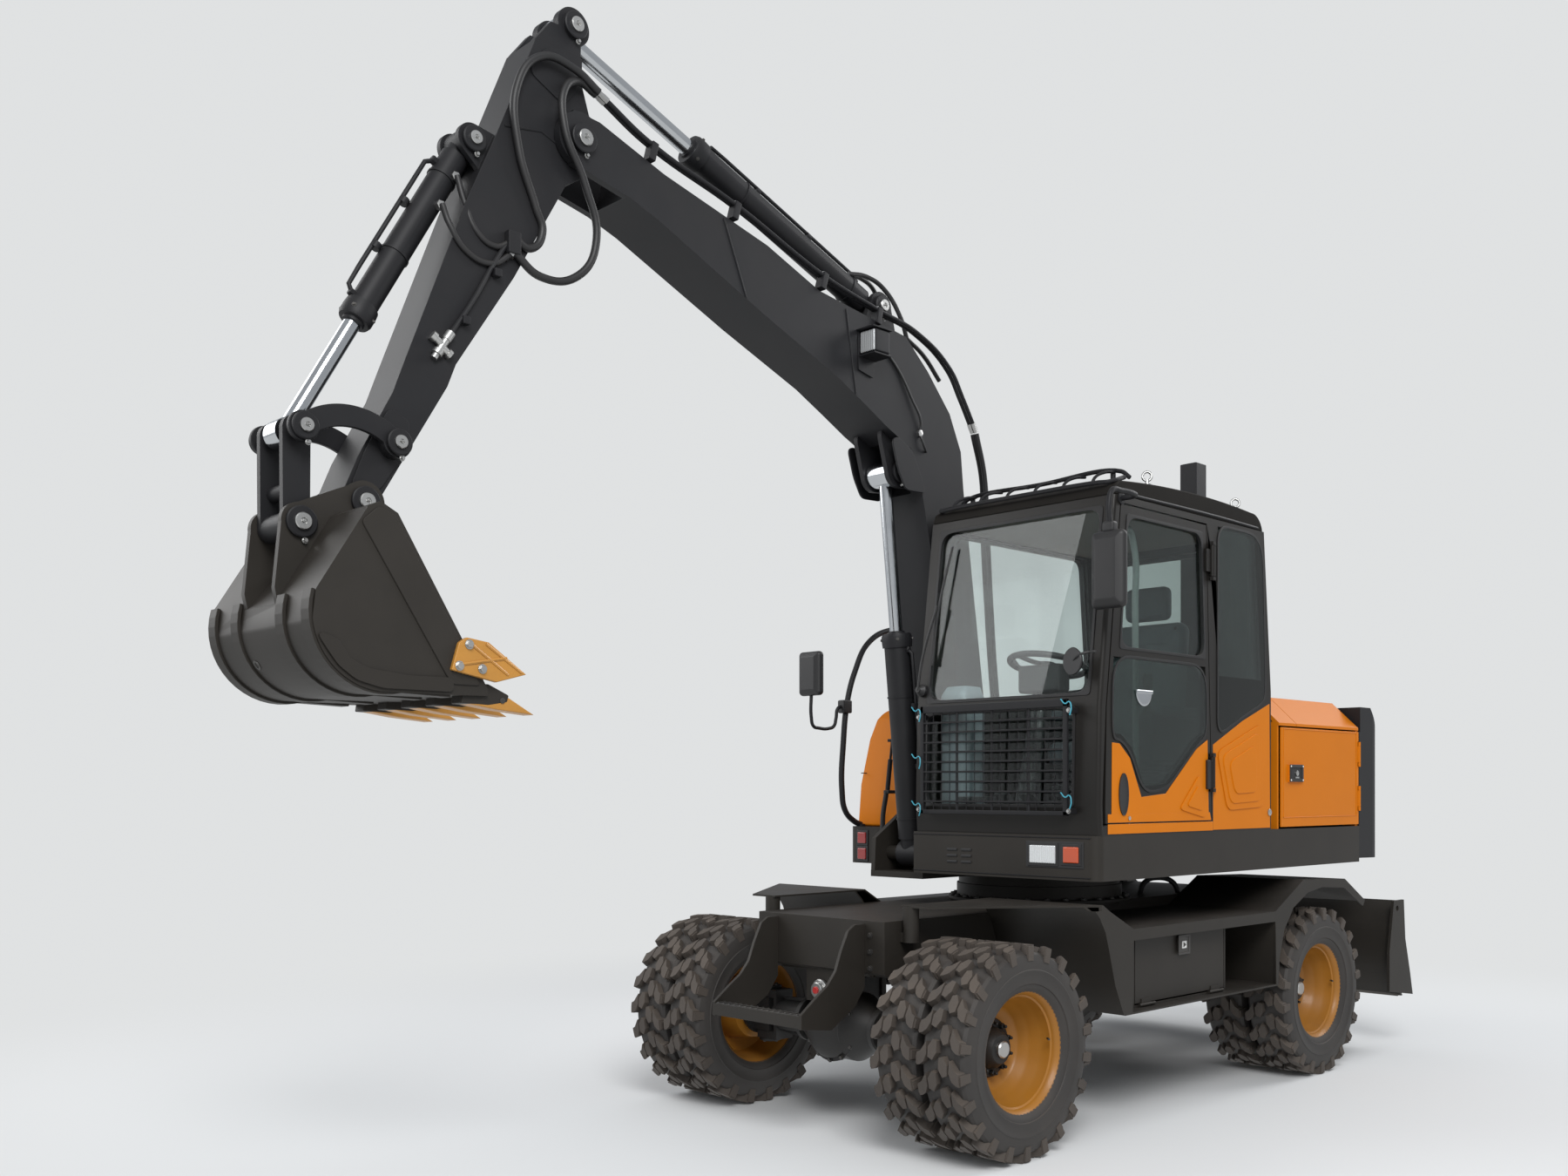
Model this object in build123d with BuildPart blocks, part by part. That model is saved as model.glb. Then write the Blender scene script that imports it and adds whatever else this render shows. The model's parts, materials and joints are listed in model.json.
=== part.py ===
from build123d import *
from math import atan2, cos, degrees, hypot, radians, sin
import os

# Wheeled excavator.  Millimetres, +Z up, origin on the ground under the slewing axis.
# +X is the machine's left (cab side) and -Y is forward.  Side-view points are written
# (forward, up), so a point (f, z) stands at Y = -f.

os.makedirs("parts", exist_ok=True)

# ---------------------------------------------------------------- driving dimensions
PIN_FIT = 0.08            # radial clearance of a pin in its bore
SEAT = 0.3                # clearance between round faces of different bodies
GAP = 6                   # side clearance between neighbouring moving plates

# wheels and axles
TYRE_R = 430
TREAD_HALF = 97
TYRE_BULGE = 112          # half of a tyre's widest section
BEAD_R = 237
RIM_HALF = 83
DUAL_OUTER_X = 902
DUAL_PITCH = 245
FRONT_AXLE_F = 1408
REAR_AXLE_F = -1088
AXLE_R = 70
DIFF_R = 150
DIFF_HALF = 95
NOSE_R = 62
NOSE_REACH = 230
SPINDLE_R = 60
HUB_R = 118
HUB_FACE_X = 872
KINGPIN_X = 500
KINGPIN_R = 24
KNUCKLE_HALF = 78         # half height of the knuckle between the axle's yoke arms
YOKE_T = 36
STEER_ARM = 220
BALL_R = 12
SHAFT_R = 32

# chassis
FRAME_HALF = 390
FRAME_BOTTOM = 680
FRAME_TOP = 920
FRAME_FRONT = 1580
FRAME_REAR = -1450
BEAM_T = 80               # width of each side beam
FRAME_PLATE = 40          # top plate over the open underside
PIVOT_Z = 600
PIVOT_R = 30
SADDLE_HALF = 118
HANGER_T = 28
RING_R = 420
RING_BORE = 335
RING_TOP = 1000

# steps and fenders
STEP_X = 1000
SHEET = 8
STEP_TOP = 865
STEP_LOW = 505
FENDER_FRONT_Z = 981
FENDER_REAR_Z = 1008
BOX_X = 935               # outer face of the tool box
BOX_FRONT = 560
BOX_REAR = -230
BOX_WALL = 10
DOOR_T = 14
LID_HINGE = (BOX_X + 8, STEP_LOW + SHEET / 2 + BOX_WALL)
LID_HINGES = (500, -90)   # front end of each hinge barrel of a tool box lid
HINGE_R = 7.5
HINGE_PIN_R = 4
KNUCKLE = 22
LID_BARREL = 80

# blade
BLADE_PIVOT = (-1400, 585)
BLADE_BASE = (-1500, 842)
BLADE_EYE = (-1925, 668)
BLADE_HALF = 985
BLADE_ARM_X = 290
BLADE_CYL_X = 190
TIE_HOLE = (-2042, 800)   # lashing hole near the top of each blade cheek
TIE_HOLE_R = 16

# upper structure
DECK_LOW = 1080
DECK_TOP = 1275
UPPER_HALF = 966
UPPER_FRONT = 874
RIGHT_FRONT = 410
DECK_REAR = -1600
CAB_IN = -70
CAB_WALL = 48
ROOF_SEAM = 2745
HOOD_FRONT = -715
HOOD_SHOULDER = 1795
HOOD_TOP = 1950

# working gear, seen from the side
GEAR_X = -250             # its middle plane
BOOM_FOOT = (330, 1400)
BOOM_CYL_BASE = (690, 1160)
BOOM_CYL_EYE = (894, 2991)
BOOM_TIP = (2742, 3968)
ARM_CYL_BASE = (1000, 3760)
STICK_TOP = (2746, 4419)
BUCKET_CYL_BASE = (3177, 3848)
STICK_END = (3623, 2452)
ROCKER_PIVOT = (3515, 2667)
ROCKER_END = (3848, 2666)
BUCKET_KNEE = (3848, 2354)

# and across
BOOM_HALF = 140
BRACKET_T = 25
STICK_HALF = 100
EAR_T = 25
ROCKER_T = 20
EYE_HALF = 46
LUG_T = 25
FORK_IN = STICK_HALF + GAP
EAR_IN = STICK_HALF + GAP
ROCKER_IN = EAR_IN + EAR_T + GAP
LUG_IN = EYE_HALF + GAP
BRACKET_IN = BOOM_HALF + GAP
LINK_IN = LUG_IN + 23
PIN_R = 35
SMALL_PIN_R = 30
BUCKET_HALF = 400


# ---------------------------------------------------------------- drawing helpers
def side(x):
    """Side-view plane at x: its own x runs forward, its own y runs up."""
    return Plane(origin=(x, 0, 0), x_dir=(0, -1, 0), z_dir=(-1, 0, 0))


def plate(points, x_left, x_right, mode=Mode.ADD):
    """Flat plate with a straight-sided side view, from x_left across to x_right."""
    with BuildSketch(side(x_left)) as outline:
        with BuildLine():
            Polyline(*points, close=True)
        make_face()
    extrude(outline.sketch, amount=x_left - x_right, mode=mode)


def bar(at, radius, x_left, x_right, mode=Mode.ADD):
    """Round bar, boss or bore along X."""
    with BuildSketch(side(x_left)) as disc:
        with Locations(at):
            Circle(radius)
    extrude(disc.sketch, amount=x_left - x_right, mode=mode)


def lug(discs, x_left, x_right, mode=Mode.ADD):
    """Plate wrapped round two discs, each (centre, radius)."""
    with BuildSketch(side(x_left)) as outline:
        for centre, radius in discs:
            with Locations(centre):
                Circle(radius)
        make_hull()
    extrude(outline.sketch, amount=x_left - x_right, mode=mode)


def strip(points, thickness, x_left, x_right, mode=Mode.ADD):
    """Bent sheet of one thickness that follows the side-view points."""
    with BuildSketch(side(x_left)) as ribbon:
        with BuildLine():
            Polyline(*points)
        trace(line_width=thickness)
    extrude(ribbon.sketch, amount=x_left - x_right, mode=mode)


def block(x_range, f_range, z_range, mode=Mode.ADD):
    """Square block between two forward positions and two heights."""
    low, high = sorted(x_range)
    rear, front = sorted(f_range)
    plate([(rear, z_range[0]), (front, z_range[0]), (front, z_range[1]), (rear, z_range[1])],
          high, low, mode)


def mirrored_pair(inner, outer, centre=0):
    """The two x spans, left and right of a middle plane, of a pair of plates."""
    return [(centre + outer, centre + inner), (centre - inner, centre - outer)]


def along(start, end, distance):
    """Point at a distance from start on the line to end."""
    reach = hypot(end[0] - start[0], end[1] - start[1])
    return tuple(a + (b - a) * distance / reach for a, b in zip(start, end))


def rod_between(x, start, end, first, last, radius, mode=Mode.ADD):
    """Round rod in the side plane at x, from first to last along start -> end."""
    reach = hypot(end[0] - start[0], end[1] - start[1])
    direction = Vector(0, -(end[0] - start[0]) / reach, (end[1] - start[1]) / reach)
    foot = along(start, end, first)
    with BuildSketch(Plane(origin=(x, -foot[0], foot[1]), x_dir=(1, 0, 0), z_dir=direction)) as disc:
        Circle(radius)
    extrude(disc.sketch, amount=last - first, mode=mode)


def bar_y(x, z, radius, front, rear, mode=Mode.ADD):
    """Round bar or bore that runs fore and aft, from front back to rear."""
    with BuildSketch(Plane.XZ.offset(front)) as disc:
        with Locations((x, z)):
            Circle(radius)
    extrude(disc.sketch, amount=rear - front, mode=mode)


def bar_z(x, f, radius, low, high, mode=Mode.ADD):
    """Upright round bar or bore."""
    with BuildSketch(Plane.XY.offset(low)) as disc:
        with Locations((x, -f)):
            Circle(radius)
    extrude(disc.sketch, amount=high - low, mode=mode)


def slab(points, low, high, mode=Mode.ADD):
    """Flat piece with a straight-sided plan; its points are (x, forward)."""
    with BuildSketch(Plane.XY.offset(low)) as outline:
        with BuildLine():
            Polyline(*[(x, -f) for x, f in points], close=True)
        make_face()
    extrude(outline.sketch, amount=high - low, mode=mode)


def finish(piece, node):
    """Labels a finished piece and writes its file."""
    piece.part.label = node
    export_step(piece.part, f"parts/{node}.step")


# ---------------------------------------------------------------- chassis
# Two side beams under a top plate, open from below, with the lower race of the slewing
# ring, the hangers of the oscillating front axle and the ears of the blade.
HANGER_IN = SADDLE_HALF + GAP
with BuildPart() as chassis_frame:
    plate([(FRAME_FRONT, FRAME_TOP), (FRAME_FRONT, FRAME_BOTTOM + 20),
           (FRAME_FRONT - 40, FRAME_BOTTOM), (FRAME_REAR + 50, FRAME_BOTTOM),
           (FRAME_REAR, FRAME_BOTTOM + 50), (FRAME_REAR, FRAME_TOP)], FRAME_HALF, -FRAME_HALF)
    block((FRAME_HALF - BEAM_T, BEAM_T - FRAME_HALF), (FRAME_REAR + 60, FRAME_FRONT - 60),
          (FRAME_BOTTOM - 20, FRAME_TOP - FRAME_PLATE), Mode.SUBTRACT)
    for end in (-1, 1):
        faces = (FRONT_AXLE_F + end * HANGER_IN, FRONT_AXLE_F + end * (HANGER_IN + HANGER_T))
        block((BEAM_T - FRAME_HALF, FRAME_HALF - BEAM_T), faces, (FRAME_BOTTOM, FRAME_TOP - 30))
        block((-100, 100), faces, (PIVOT_Z - 55, FRAME_BOTTOM))
    bar_y(0, PIVOT_Z, PIVOT_R + PIN_FIT, FRAME_FRONT + 20, FRONT_AXLE_F - 260, Mode.SUBTRACT)
    bar_z(0, 0, RING_R, FRAME_TOP - 20, RING_TOP)
    bar_z(0, 0, RING_BORE, FRAME_TOP, RING_TOP, Mode.SUBTRACT)
    for sign in (-1, 1):
        for span in mirrored_pair(35, 60, sign * BLADE_ARM_X):
            lug([(BLADE_PIVOT, 55), ((BLADE_PIVOT[0], FRAME_BOTTOM + 40), 55)], *span)
        bar(BLADE_PIVOT, PIN_R, sign * BLADE_ARM_X + 66, sign * BLADE_ARM_X - 66)
        for span in mirrored_pair(31, 49, sign * BLADE_CYL_X):
            lug([(BLADE_BASE, 38), ((FRAME_REAR + 30, BLADE_BASE[1]), 38)], *span)
        bar(BLADE_BASE, 20, sign * BLADE_CYL_X + 55, sign * BLADE_CYL_X - 55)
finish(chassis_frame, "chassis_frame")

# Entry step under the nose of the frame: two side plates with a swept front edge carry a
# square bar.
STEP_PLATE_X = 270
STEP_PLATE_T = 16
STEP_BAR = (320, 370)     # front and rear of the bar, ahead of the frame
with BuildPart() as front_step:
    for sign in (-1, 1):
        plate([(FRAME_FRONT + dx, z) for dx, z in (
            (0, 905), (60, 905), (98, 882), (140, 800), (172, 720), (220, 665), (280, 625),
            (370, 560), (370, 500), (200, 478), (60, 560), (0, 640))],
            sign * STEP_PLATE_X + STEP_PLATE_T / 2, sign * STEP_PLATE_X - STEP_PLATE_T / 2)
    block((-STEP_PLATE_X, STEP_PLATE_X), [FRAME_FRONT + dx for dx in STEP_BAR], (503, 553))
finish(front_step, "front_step")


# Wheel arches, followed by a liner and by the skirt plates along the outer edge.
ARCH_FRONT = [(955, FENDER_FRONT_Z), (905, 935), (862, 870), (838, 800), (790, 640),
              (724, STEP_LOW)]
ARCH_REAR = [(-1575, 842), (-1345, 952), (-1100, 966), (-940, 946), (-788, 878), (-690, 770),
             (-645, 640), (-628, STEP_LOW), (-610, STEP_LOW)]
POST_X = 430


# Fender sheets, running board and tool box of one side, bent from one strip of sheet.
def fender_step(sign, node):
    """One side's fenders and steps; sign is +1 for the left."""
    edge = sign * STEP_X
    root = sign * FRAME_HALF
    low_x, high_x = sorted((edge, root))
    with BuildPart() as piece:
        for points in (
            [(1482, FENDER_FRONT_Z), (885, FENDER_FRONT_Z), (680, STEP_TOP)],
            [(716, STEP_LOW), (680, STEP_TOP), (-600, STEP_TOP), (-628, STEP_LOW)],
            [(-600, STEP_TOP), (-890, FENDER_REAR_Z), (-1354, FENDER_REAR_Z - 13),
             (-1592, STEP_TOP + 5)],
            [(716, STEP_LOW), (-628, STEP_LOW)],
        ):
            strip(points, SHEET, high_x, low_x)
        skirt = (max(edge, edge - sign * SHEET), min(edge, edge - sign * SHEET))
        plate([(653, STEP_TOP + 4), (885, FENDER_FRONT_Z), *ARCH_FRONT, (660, STEP_LOW)], *skirt)
        strip(ARCH_FRONT, SHEET, high_x, low_x)
        plate([(-600, STEP_TOP), (-890, FENDER_REAR_Z), (-1354, FENDER_REAR_Z - 13),
               (-1592, STEP_TOP + 5), *ARCH_REAR], *skirt)
        slab([(sign * 530, 1500), (sign * 1010, 1500), (sign * 1010, 880)],
             FENDER_FRONT_Z - 20, FENDER_FRONT_Z + 20, Mode.SUBTRACT)
        block((edge, edge - sign * SHEET), (-600, 680), (STEP_TOP - 46, STEP_TOP))
        block((sign * 560, sign * BOX_X), (BOX_REAR, BOX_FRONT), (STEP_LOW, STEP_TOP))
        block((sign * (560 + BOX_WALL), edge + sign * 50),
              (BOX_REAR + BOX_WALL, BOX_FRONT - BOX_WALL),
              (STEP_LOW + SHEET / 2 + BOX_WALL, STEP_TOP - 50), Mode.SUBTRACT)
        for front in LID_HINGES:
            for end in (front + KNUCKLE, front - LID_BARREL):
                bar_y(sign * LID_HINGE[0], LID_HINGE[1], HINGE_R, end, end - KNUCKLE)
                block((sign * (BOX_X - 1), sign * LID_HINGE[0]), (end, end - KNUCKLE),
                      (LID_HINGE[1] - BOX_WALL, LID_HINGE[1]))
            bar_y(sign * LID_HINGE[0], LID_HINGE[1], HINGE_PIN_R, front + KNUCKLE,
                  front - LID_BARREL - KNUCKLE)
        bar_z(sign * POST_X, 1458, 34, FRAME_TOP - 90, FENDER_FRONT_Z)
        block((root, sign * POST_X), (1432, 1484), (FRAME_TOP - 90, FRAME_TOP - 50))
        block((sign * 360, sign * 480), (-1354, -1312), (FRAME_TOP, FENDER_REAR_Z - 14))
    finish(piece, node)


for sign, node in ((1, "fender_step_left"), (-1, "fender_step_right")):
    fender_step(sign, node)

# Drop-down lids of the tool boxes, each on a hinge along its lower edge.
LID_LOW = STEP_LOW + SHEET / 2 + BOX_WALL + 8
LID_HIGH = STEP_TOP - 58
for sign, node in ((1, "toolbox_door_left"), (-1, "toolbox_door_right")):
    with BuildPart() as toolbox_door:
        block((sign * BOX_X, sign * (BOX_X - DOOR_T)),
              (BOX_REAR + BOX_WALL + 6, BOX_FRONT - BOX_WALL - 6), (LID_LOW, LID_HIGH))
        block((sign * BOX_X, sign * (BOX_X + 12)), (120, 200), (LID_HIGH - 75, LID_HIGH - 20))
        for front in LID_HINGES:
            barrel_span = (front - 1, front - LID_BARREL + 1)
            bar_y(sign * LID_HINGE[0], LID_HINGE[1], HINGE_R, *barrel_span)
            block((sign * BOX_X, sign * (LID_HINGE[0] - 3)), barrel_span,
                  (LID_HINGE[1], LID_LOW + 18))
            bar_y(sign * LID_HINGE[0], LID_HINGE[1], HINGE_PIN_R + PIN_FIT, *barrel_span,
                  Mode.SUBTRACT)
    finish(toolbox_door, node)


# ---------------------------------------------------------------- axles and drive
def axle_body(axle_f, nose_way, beam_end):
    """Beam, differential and pinion nose of one axle, inside the open part."""
    bar((axle_f, TYRE_R), AXLE_R, beam_end, -beam_end)
    with BuildSketch(Plane(origin=(0, -axle_f, TYRE_R), x_dir=(1, 0, 0), z_dir=(0, -1, 0))) as half:
        with BuildLine():
            Polyline((-210, 0), (-210, AXLE_R + 8), (-DIFF_HALF, DIFF_R), (DIFF_HALF, DIFF_R),
                     (210, AXLE_R + 8), (210, 0), close=True)
        make_face()
    revolve(half.sketch, axis=Axis((0, -axle_f, TYRE_R), (1, 0, 0)))
    tip = axle_f + nose_way * NOSE_REACH
    bar_y(0, TYRE_R, NOSE_R, max(axle_f, tip), min(axle_f, tip))


with BuildPart() as front_axle:
    axle_body(FRONT_AXLE_F, -1, KINGPIN_X - 20)
    block((-90, 90), (FRONT_AXLE_F - SADDLE_HALF, FRONT_AXLE_F + SADDLE_HALF),
          (TYRE_R, PIVOT_Z + 45))
    bar_y(0, PIVOT_Z, PIVOT_R, FRONT_AXLE_F + HANGER_IN + HANGER_T + 6,
          FRONT_AXLE_F - HANGER_IN - HANGER_T - 6)
    for sign in (-1, 1):
        x_low, x_high = sorted((sign * (KINGPIN_X - 95), sign * (KINGPIN_X + 34)))
        block((x_low, x_high), (FRONT_AXLE_F - 52, FRONT_AXLE_F + 52),
              (TYRE_R - KNUCKLE_HALF - YOKE_T, TYRE_R + KNUCKLE_HALF + YOKE_T))
        block((sign * (KINGPIN_X - 76), sign * (KINGPIN_X + 60)),
              (FRONT_AXLE_F - 80, FRONT_AXLE_F + 80),
              (TYRE_R - KNUCKLE_HALF - 1, TYRE_R + KNUCKLE_HALF + 1), Mode.SUBTRACT)
        bar_z(sign * KINGPIN_X, FRONT_AXLE_F, KINGPIN_R, TYRE_R - KNUCKLE_HALF - YOKE_T - 5,
              TYRE_R + KNUCKLE_HALF + YOKE_T + 5)
finish(front_axle, "front_axle")

with BuildPart() as rear_axle:
    axle_body(REAR_AXLE_F, 1, KINGPIN_X + 60)
    for sign in (-1, 1):
        x_low, x_high = sorted((sign * (FRAME_HALF - BEAM_T), sign * FRAME_HALF))
        block((x_low, x_high), (REAR_AXLE_F - 110, REAR_AXLE_F + 110), (FRAME_BOTTOM - 24, FRAME_BOTTOM))
        block((x_low + 8, x_high - 8), (REAR_AXLE_F - 70, REAR_AXLE_F + 70), (TYRE_R, FRAME_BOTTOM - 24))
        bar((REAR_AXLE_F, TYRE_R), 96, max(sign * 560, sign * 594), min(sign * 560, sign * 594))
        bar((REAR_AXLE_F, TYRE_R), SPINDLE_R, max(sign * 590, sign * 765), min(sign * 590, sign * 765))
finish(rear_axle, "rear_axle")

# Gearbox hung in the frame, and the two shafts to the axles.
GEARBOX = (-120, 330)
with BuildPart() as transmission:
    block((-150, 150), GEARBOX, (360, FRAME_TOP - FRAME_PLATE))
    chamfer(transmission.edges().filter_by(Axis.Z), 40)
    bar_y(0, TYRE_R, SHAFT_R, FRONT_AXLE_F - NOSE_REACH, GEARBOX[1] - 10)
    bar_y(0, TYRE_R, SHAFT_R, GEARBOX[0] + 10, REAR_AXLE_F + NOSE_REACH)
    for flange in (FRONT_AXLE_F - NOSE_REACH - 16, GEARBOX[1], GEARBOX[0] - 16,
                   REAR_AXLE_F + NOSE_REACH):
        bar_y(0, TYRE_R, SHAFT_R + 18, flange + 16, flange)
finish(transmission, "transmission")

# Steering knuckles: block on the kingpin, spindle for the wheel and arm for the tie rod.
TIE_Z = TYRE_R - 105
for sign, node in ((1, "knuckle_left"), (-1, "knuckle_right")):
    with BuildPart() as knuckle:
        block((sign * (KINGPIN_X - 48), sign * (KINGPIN_X + 62)),
              (FRONT_AXLE_F - 55, FRONT_AXLE_F + 55),
              (TYRE_R - KNUCKLE_HALF + 1, TYRE_R + KNUCKLE_HALF - 1))
        ends = sorted((sign * (KINGPIN_X + 60), sign * 594))
        bar((FRONT_AXLE_F, TYRE_R), 96, ends[1], ends[0])
        ends = sorted((sign * 590, sign * 765))
        bar((FRONT_AXLE_F, TYRE_R), SPINDLE_R, ends[1], ends[0])
        block((sign * (KINGPIN_X - 24), sign * (KINGPIN_X + 24)),
              (FRONT_AXLE_F - STEER_ARM, FRONT_AXLE_F - 50), (TIE_Z + 28, TIE_Z + 54))
        bar_z(sign * KINGPIN_X, FRONT_AXLE_F - STEER_ARM, 24, TIE_Z + 28, TIE_Z + 54)
        bar_z(sign * KINGPIN_X, FRONT_AXLE_F, KINGPIN_R + PIN_FIT, TYRE_R - 200, TYRE_R + 200,
              Mode.SUBTRACT)
        bar_z(sign * KINGPIN_X, FRONT_AXLE_F - STEER_ARM, BALL_R + PIN_FIT, TIE_Z, TIE_Z + 80,
              Mode.SUBTRACT)
    finish(knuckle, node)

with BuildPart() as tie_rod:
    bar((FRONT_AXLE_F - STEER_ARM, TIE_Z), 15, KINGPIN_X, -KINGPIN_X)
    for sign in (-1, 1):
        bar_z(sign * KINGPIN_X, FRONT_AXLE_F - STEER_ARM, 24, TIE_Z - 22, TIE_Z + 22)
        bar_z(sign * KINGPIN_X, FRONT_AXLE_F - STEER_ARM, BALL_R, TIE_Z, TIE_Z + 58)
finish(tie_rod, "tie_rod")

# ---------------------------------------------------------------- twin wheels
# Each corner carries two tyres on one dished hub; the outer rim's dish faces out.
WHEELS = (
    # node end, side, axle
    ("front_left", 1, FRONT_AXLE_F),
    ("front_right", -1, FRONT_AXLE_F),
    ("rear_left", 1, REAR_AXLE_F),
    ("rear_right", -1, REAR_AXLE_F),
)
DISC_X = DUAL_OUTER_X - DUAL_PITCH / 2
for corner, sign, axle_f in WHEELS:
    turning = Axis((0, -axle_f, TYRE_R), (1, 0, 0))
    wheel_plane = Plane(origin=(0, -axle_f, TYRE_R), x_dir=(1, 0, 0), z_dir=(0, -1, 0))
    with BuildPart() as tyres:
        for middle in (DUAL_OUTER_X, DUAL_OUTER_X - DUAL_PITCH):
            with BuildSketch(wheel_plane) as section:
                with BuildLine():
                    Polyline(*[(sign * (middle + dx), r) for dx, r in (
                        (-RIM_HALF, BEAD_R), (-TYRE_BULGE, 330), (-TREAD_HALF, TYRE_R),
                        (TREAD_HALF, TYRE_R), (TYRE_BULGE, 330), (RIM_HALF, BEAD_R))],
                        close=True)
                make_face()
            revolve(section.sketch, axis=turning)
    finish(tyres, f"tyres_{corner}")
    with BuildPart() as rims:
        with BuildSketch(wheel_plane) as section:
            with BuildLine():
                Polyline(*[(sign * x, r) for x, r in (
                    (DUAL_OUTER_X + RIM_HALF, BEAD_R), (DUAL_OUTER_X + RIM_HALF, BEAD_R - 14),
                    (DISC_X + 40, BEAD_R - 30), (DISC_X + 8, 150), (DISC_X + 8, HUB_R),
                    (HUB_FACE_X, HUB_R - 8), (HUB_FACE_X, 0), (772, 0),
                    (772, SPINDLE_R + PIN_FIT), (604, SPINDLE_R + PIN_FIT), (604, HUB_R),
                    (DISC_X - 8, HUB_R), (DISC_X - 40, BEAD_R - 30),
                    (DUAL_OUTER_X - DUAL_PITCH - RIM_HALF, BEAD_R - 16),
                    (DUAL_OUTER_X - DUAL_PITCH - RIM_HALF, BEAD_R))], close=True)
            make_face()
        revolve(section.sketch, axis=turning)
    finish(rims, f"rims_{corner}")

# ---------------------------------------------------------------- blade at the rear
with BuildPart() as dozer_blade:
    with BuildSketch(side(BLADE_HALF)) as skin:
        with BuildLine():
            face = ThreePointArc((-2120, 840), (-2016, 580), (-2110, 300))
            Line(face @ 1, (-2090, 300))
            back = ThreePointArc((-2090, 300), (-1996, 580), (-2100, 840))
            Line(back @ 1, face @ 0)
        make_face()
    extrude(skin.sketch, amount=2 * BLADE_HALF)
    for sign in (-1, 1):
        edge = sorted((sign * BLADE_HALF, sign * (BLADE_HALF - 16)))
        plate([(-2130, 845), (-1998, 845), (-1940, 560), (-1940, 337), (-2250, 293),
               (-2215, 420), (-2150, 620)], edge[1], edge[0])
        bar(TIE_HOLE, TIE_HOLE_R, edge[1] + 5, edge[0] - 5, Mode.SUBTRACT)
        arm = sorted((sign * BLADE_ARM_X - 29, sign * BLADE_ARM_X + 29))
        lug([(BLADE_PIVOT, 52), ((-1985, 520), 60)], arm[1], arm[0])
        bar(BLADE_PIVOT, PIN_R + PIN_FIT, arm[1] + 1, arm[0] - 1, Mode.SUBTRACT)
        for span in mirrored_pair(31, 49, sign * BLADE_CYL_X):
            lug([(BLADE_EYE, 36), ((-2000, BLADE_EYE[1] - 20), 60)], *span)
        block((sign * BLADE_CYL_X - 60, sign * BLADE_ARM_X + sign * 29), (-2010, -1975), (470, 740))
    block((-BLADE_ARM_X, BLADE_ARM_X), (-2006, -1950), (495, 560))
finish(dozer_blade, "dozer_blade")


# ---------------------------------------------------------------- hydraulic cylinders
def barrel(x, base, eye, reach, radius, rod_radius, eye_radius, eye_half, bore_end):
    """Cylinder barrel: base eye on its pin, neck, tube and gland, bored for the rod."""
    bar(base, eye_radius, x + eye_half, x - eye_half)
    rod_between(x, base, eye, 0, bore_end, eye_half - 4)
    rod_between(x, base, eye, eye_radius + 14, reach, radius)
    rod_between(x, base, eye, reach - 55, reach + 8, radius + 6)
    rod_between(x, base, eye, bore_end, reach + 20, rod_radius + PIN_FIT, Mode.SUBTRACT)


def rod(x, base, eye, inner_end, radius, eye_radius, eye_half):
    """Piston rod with its eye and the short pin that fills it."""
    reach = hypot(eye[0] - base[0], eye[1] - base[1])
    rod_between(x, base, eye, inner_end, reach, radius)
    bar(eye, eye_radius, x + eye_half, x - eye_half)


CYLINDERS = (
    # name, base, eye, gland reach, tube r, rod r, eye r, base half width, pin r, bore end, rod end
    ("boom_cylinder", BOOM_CYL_BASE, BOOM_CYL_EYE, 1066, 64, 31.5, 62, 60, PIN_R, 90, 665),
    ("arm_cylinder", ARM_CYL_BASE, STICK_TOP, 1171, 59, 35, 60, EYE_HALF, PIN_R, 80, 590),
    ("bucket_cylinder", BUCKET_CYL_BASE, ROCKER_END, 845, 50, 30, 50, EYE_HALF, SMALL_PIN_R, 75, 460),
)
for name, base, eye, reach, tube_r, rod_r, eye_r, half, pin_r, bore_end, rod_end in CYLINDERS:
    with BuildPart() as tube:
        barrel(GEAR_X, base, eye, reach, tube_r, rod_r, eye_r, half, bore_end)
        bar(base, pin_r + PIN_FIT, GEAR_X + half + 1, GEAR_X - half - 1, Mode.SUBTRACT)
    finish(tube, f"{name}_barrel")
    with BuildPart() as piston_rod:
        rod(GEAR_X, base, eye, rod_end, rod_r, eye_r, half)
    finish(piston_rod, f"{name}_rod")

with BuildPart() as blade_cylinder_barrels:
    for sign in (-1, 1):
        barrel(sign * BLADE_CYL_X, BLADE_BASE, BLADE_EYE, 345, 42, 22, 38, 28, 60)
        bar(BLADE_BASE, 20 + PIN_FIT, sign * BLADE_CYL_X + 29, sign * BLADE_CYL_X - 29,
            Mode.SUBTRACT)
finish(blade_cylinder_barrels, "blade_cylinder_barrels")
with BuildPart() as blade_cylinder_rods:
    for sign in (-1, 1):
        rod(sign * BLADE_CYL_X, BLADE_BASE, BLADE_EYE, 130, 22, 34, 28)
finish(blade_cylinder_rods, "blade_cylinder_rods")

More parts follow.
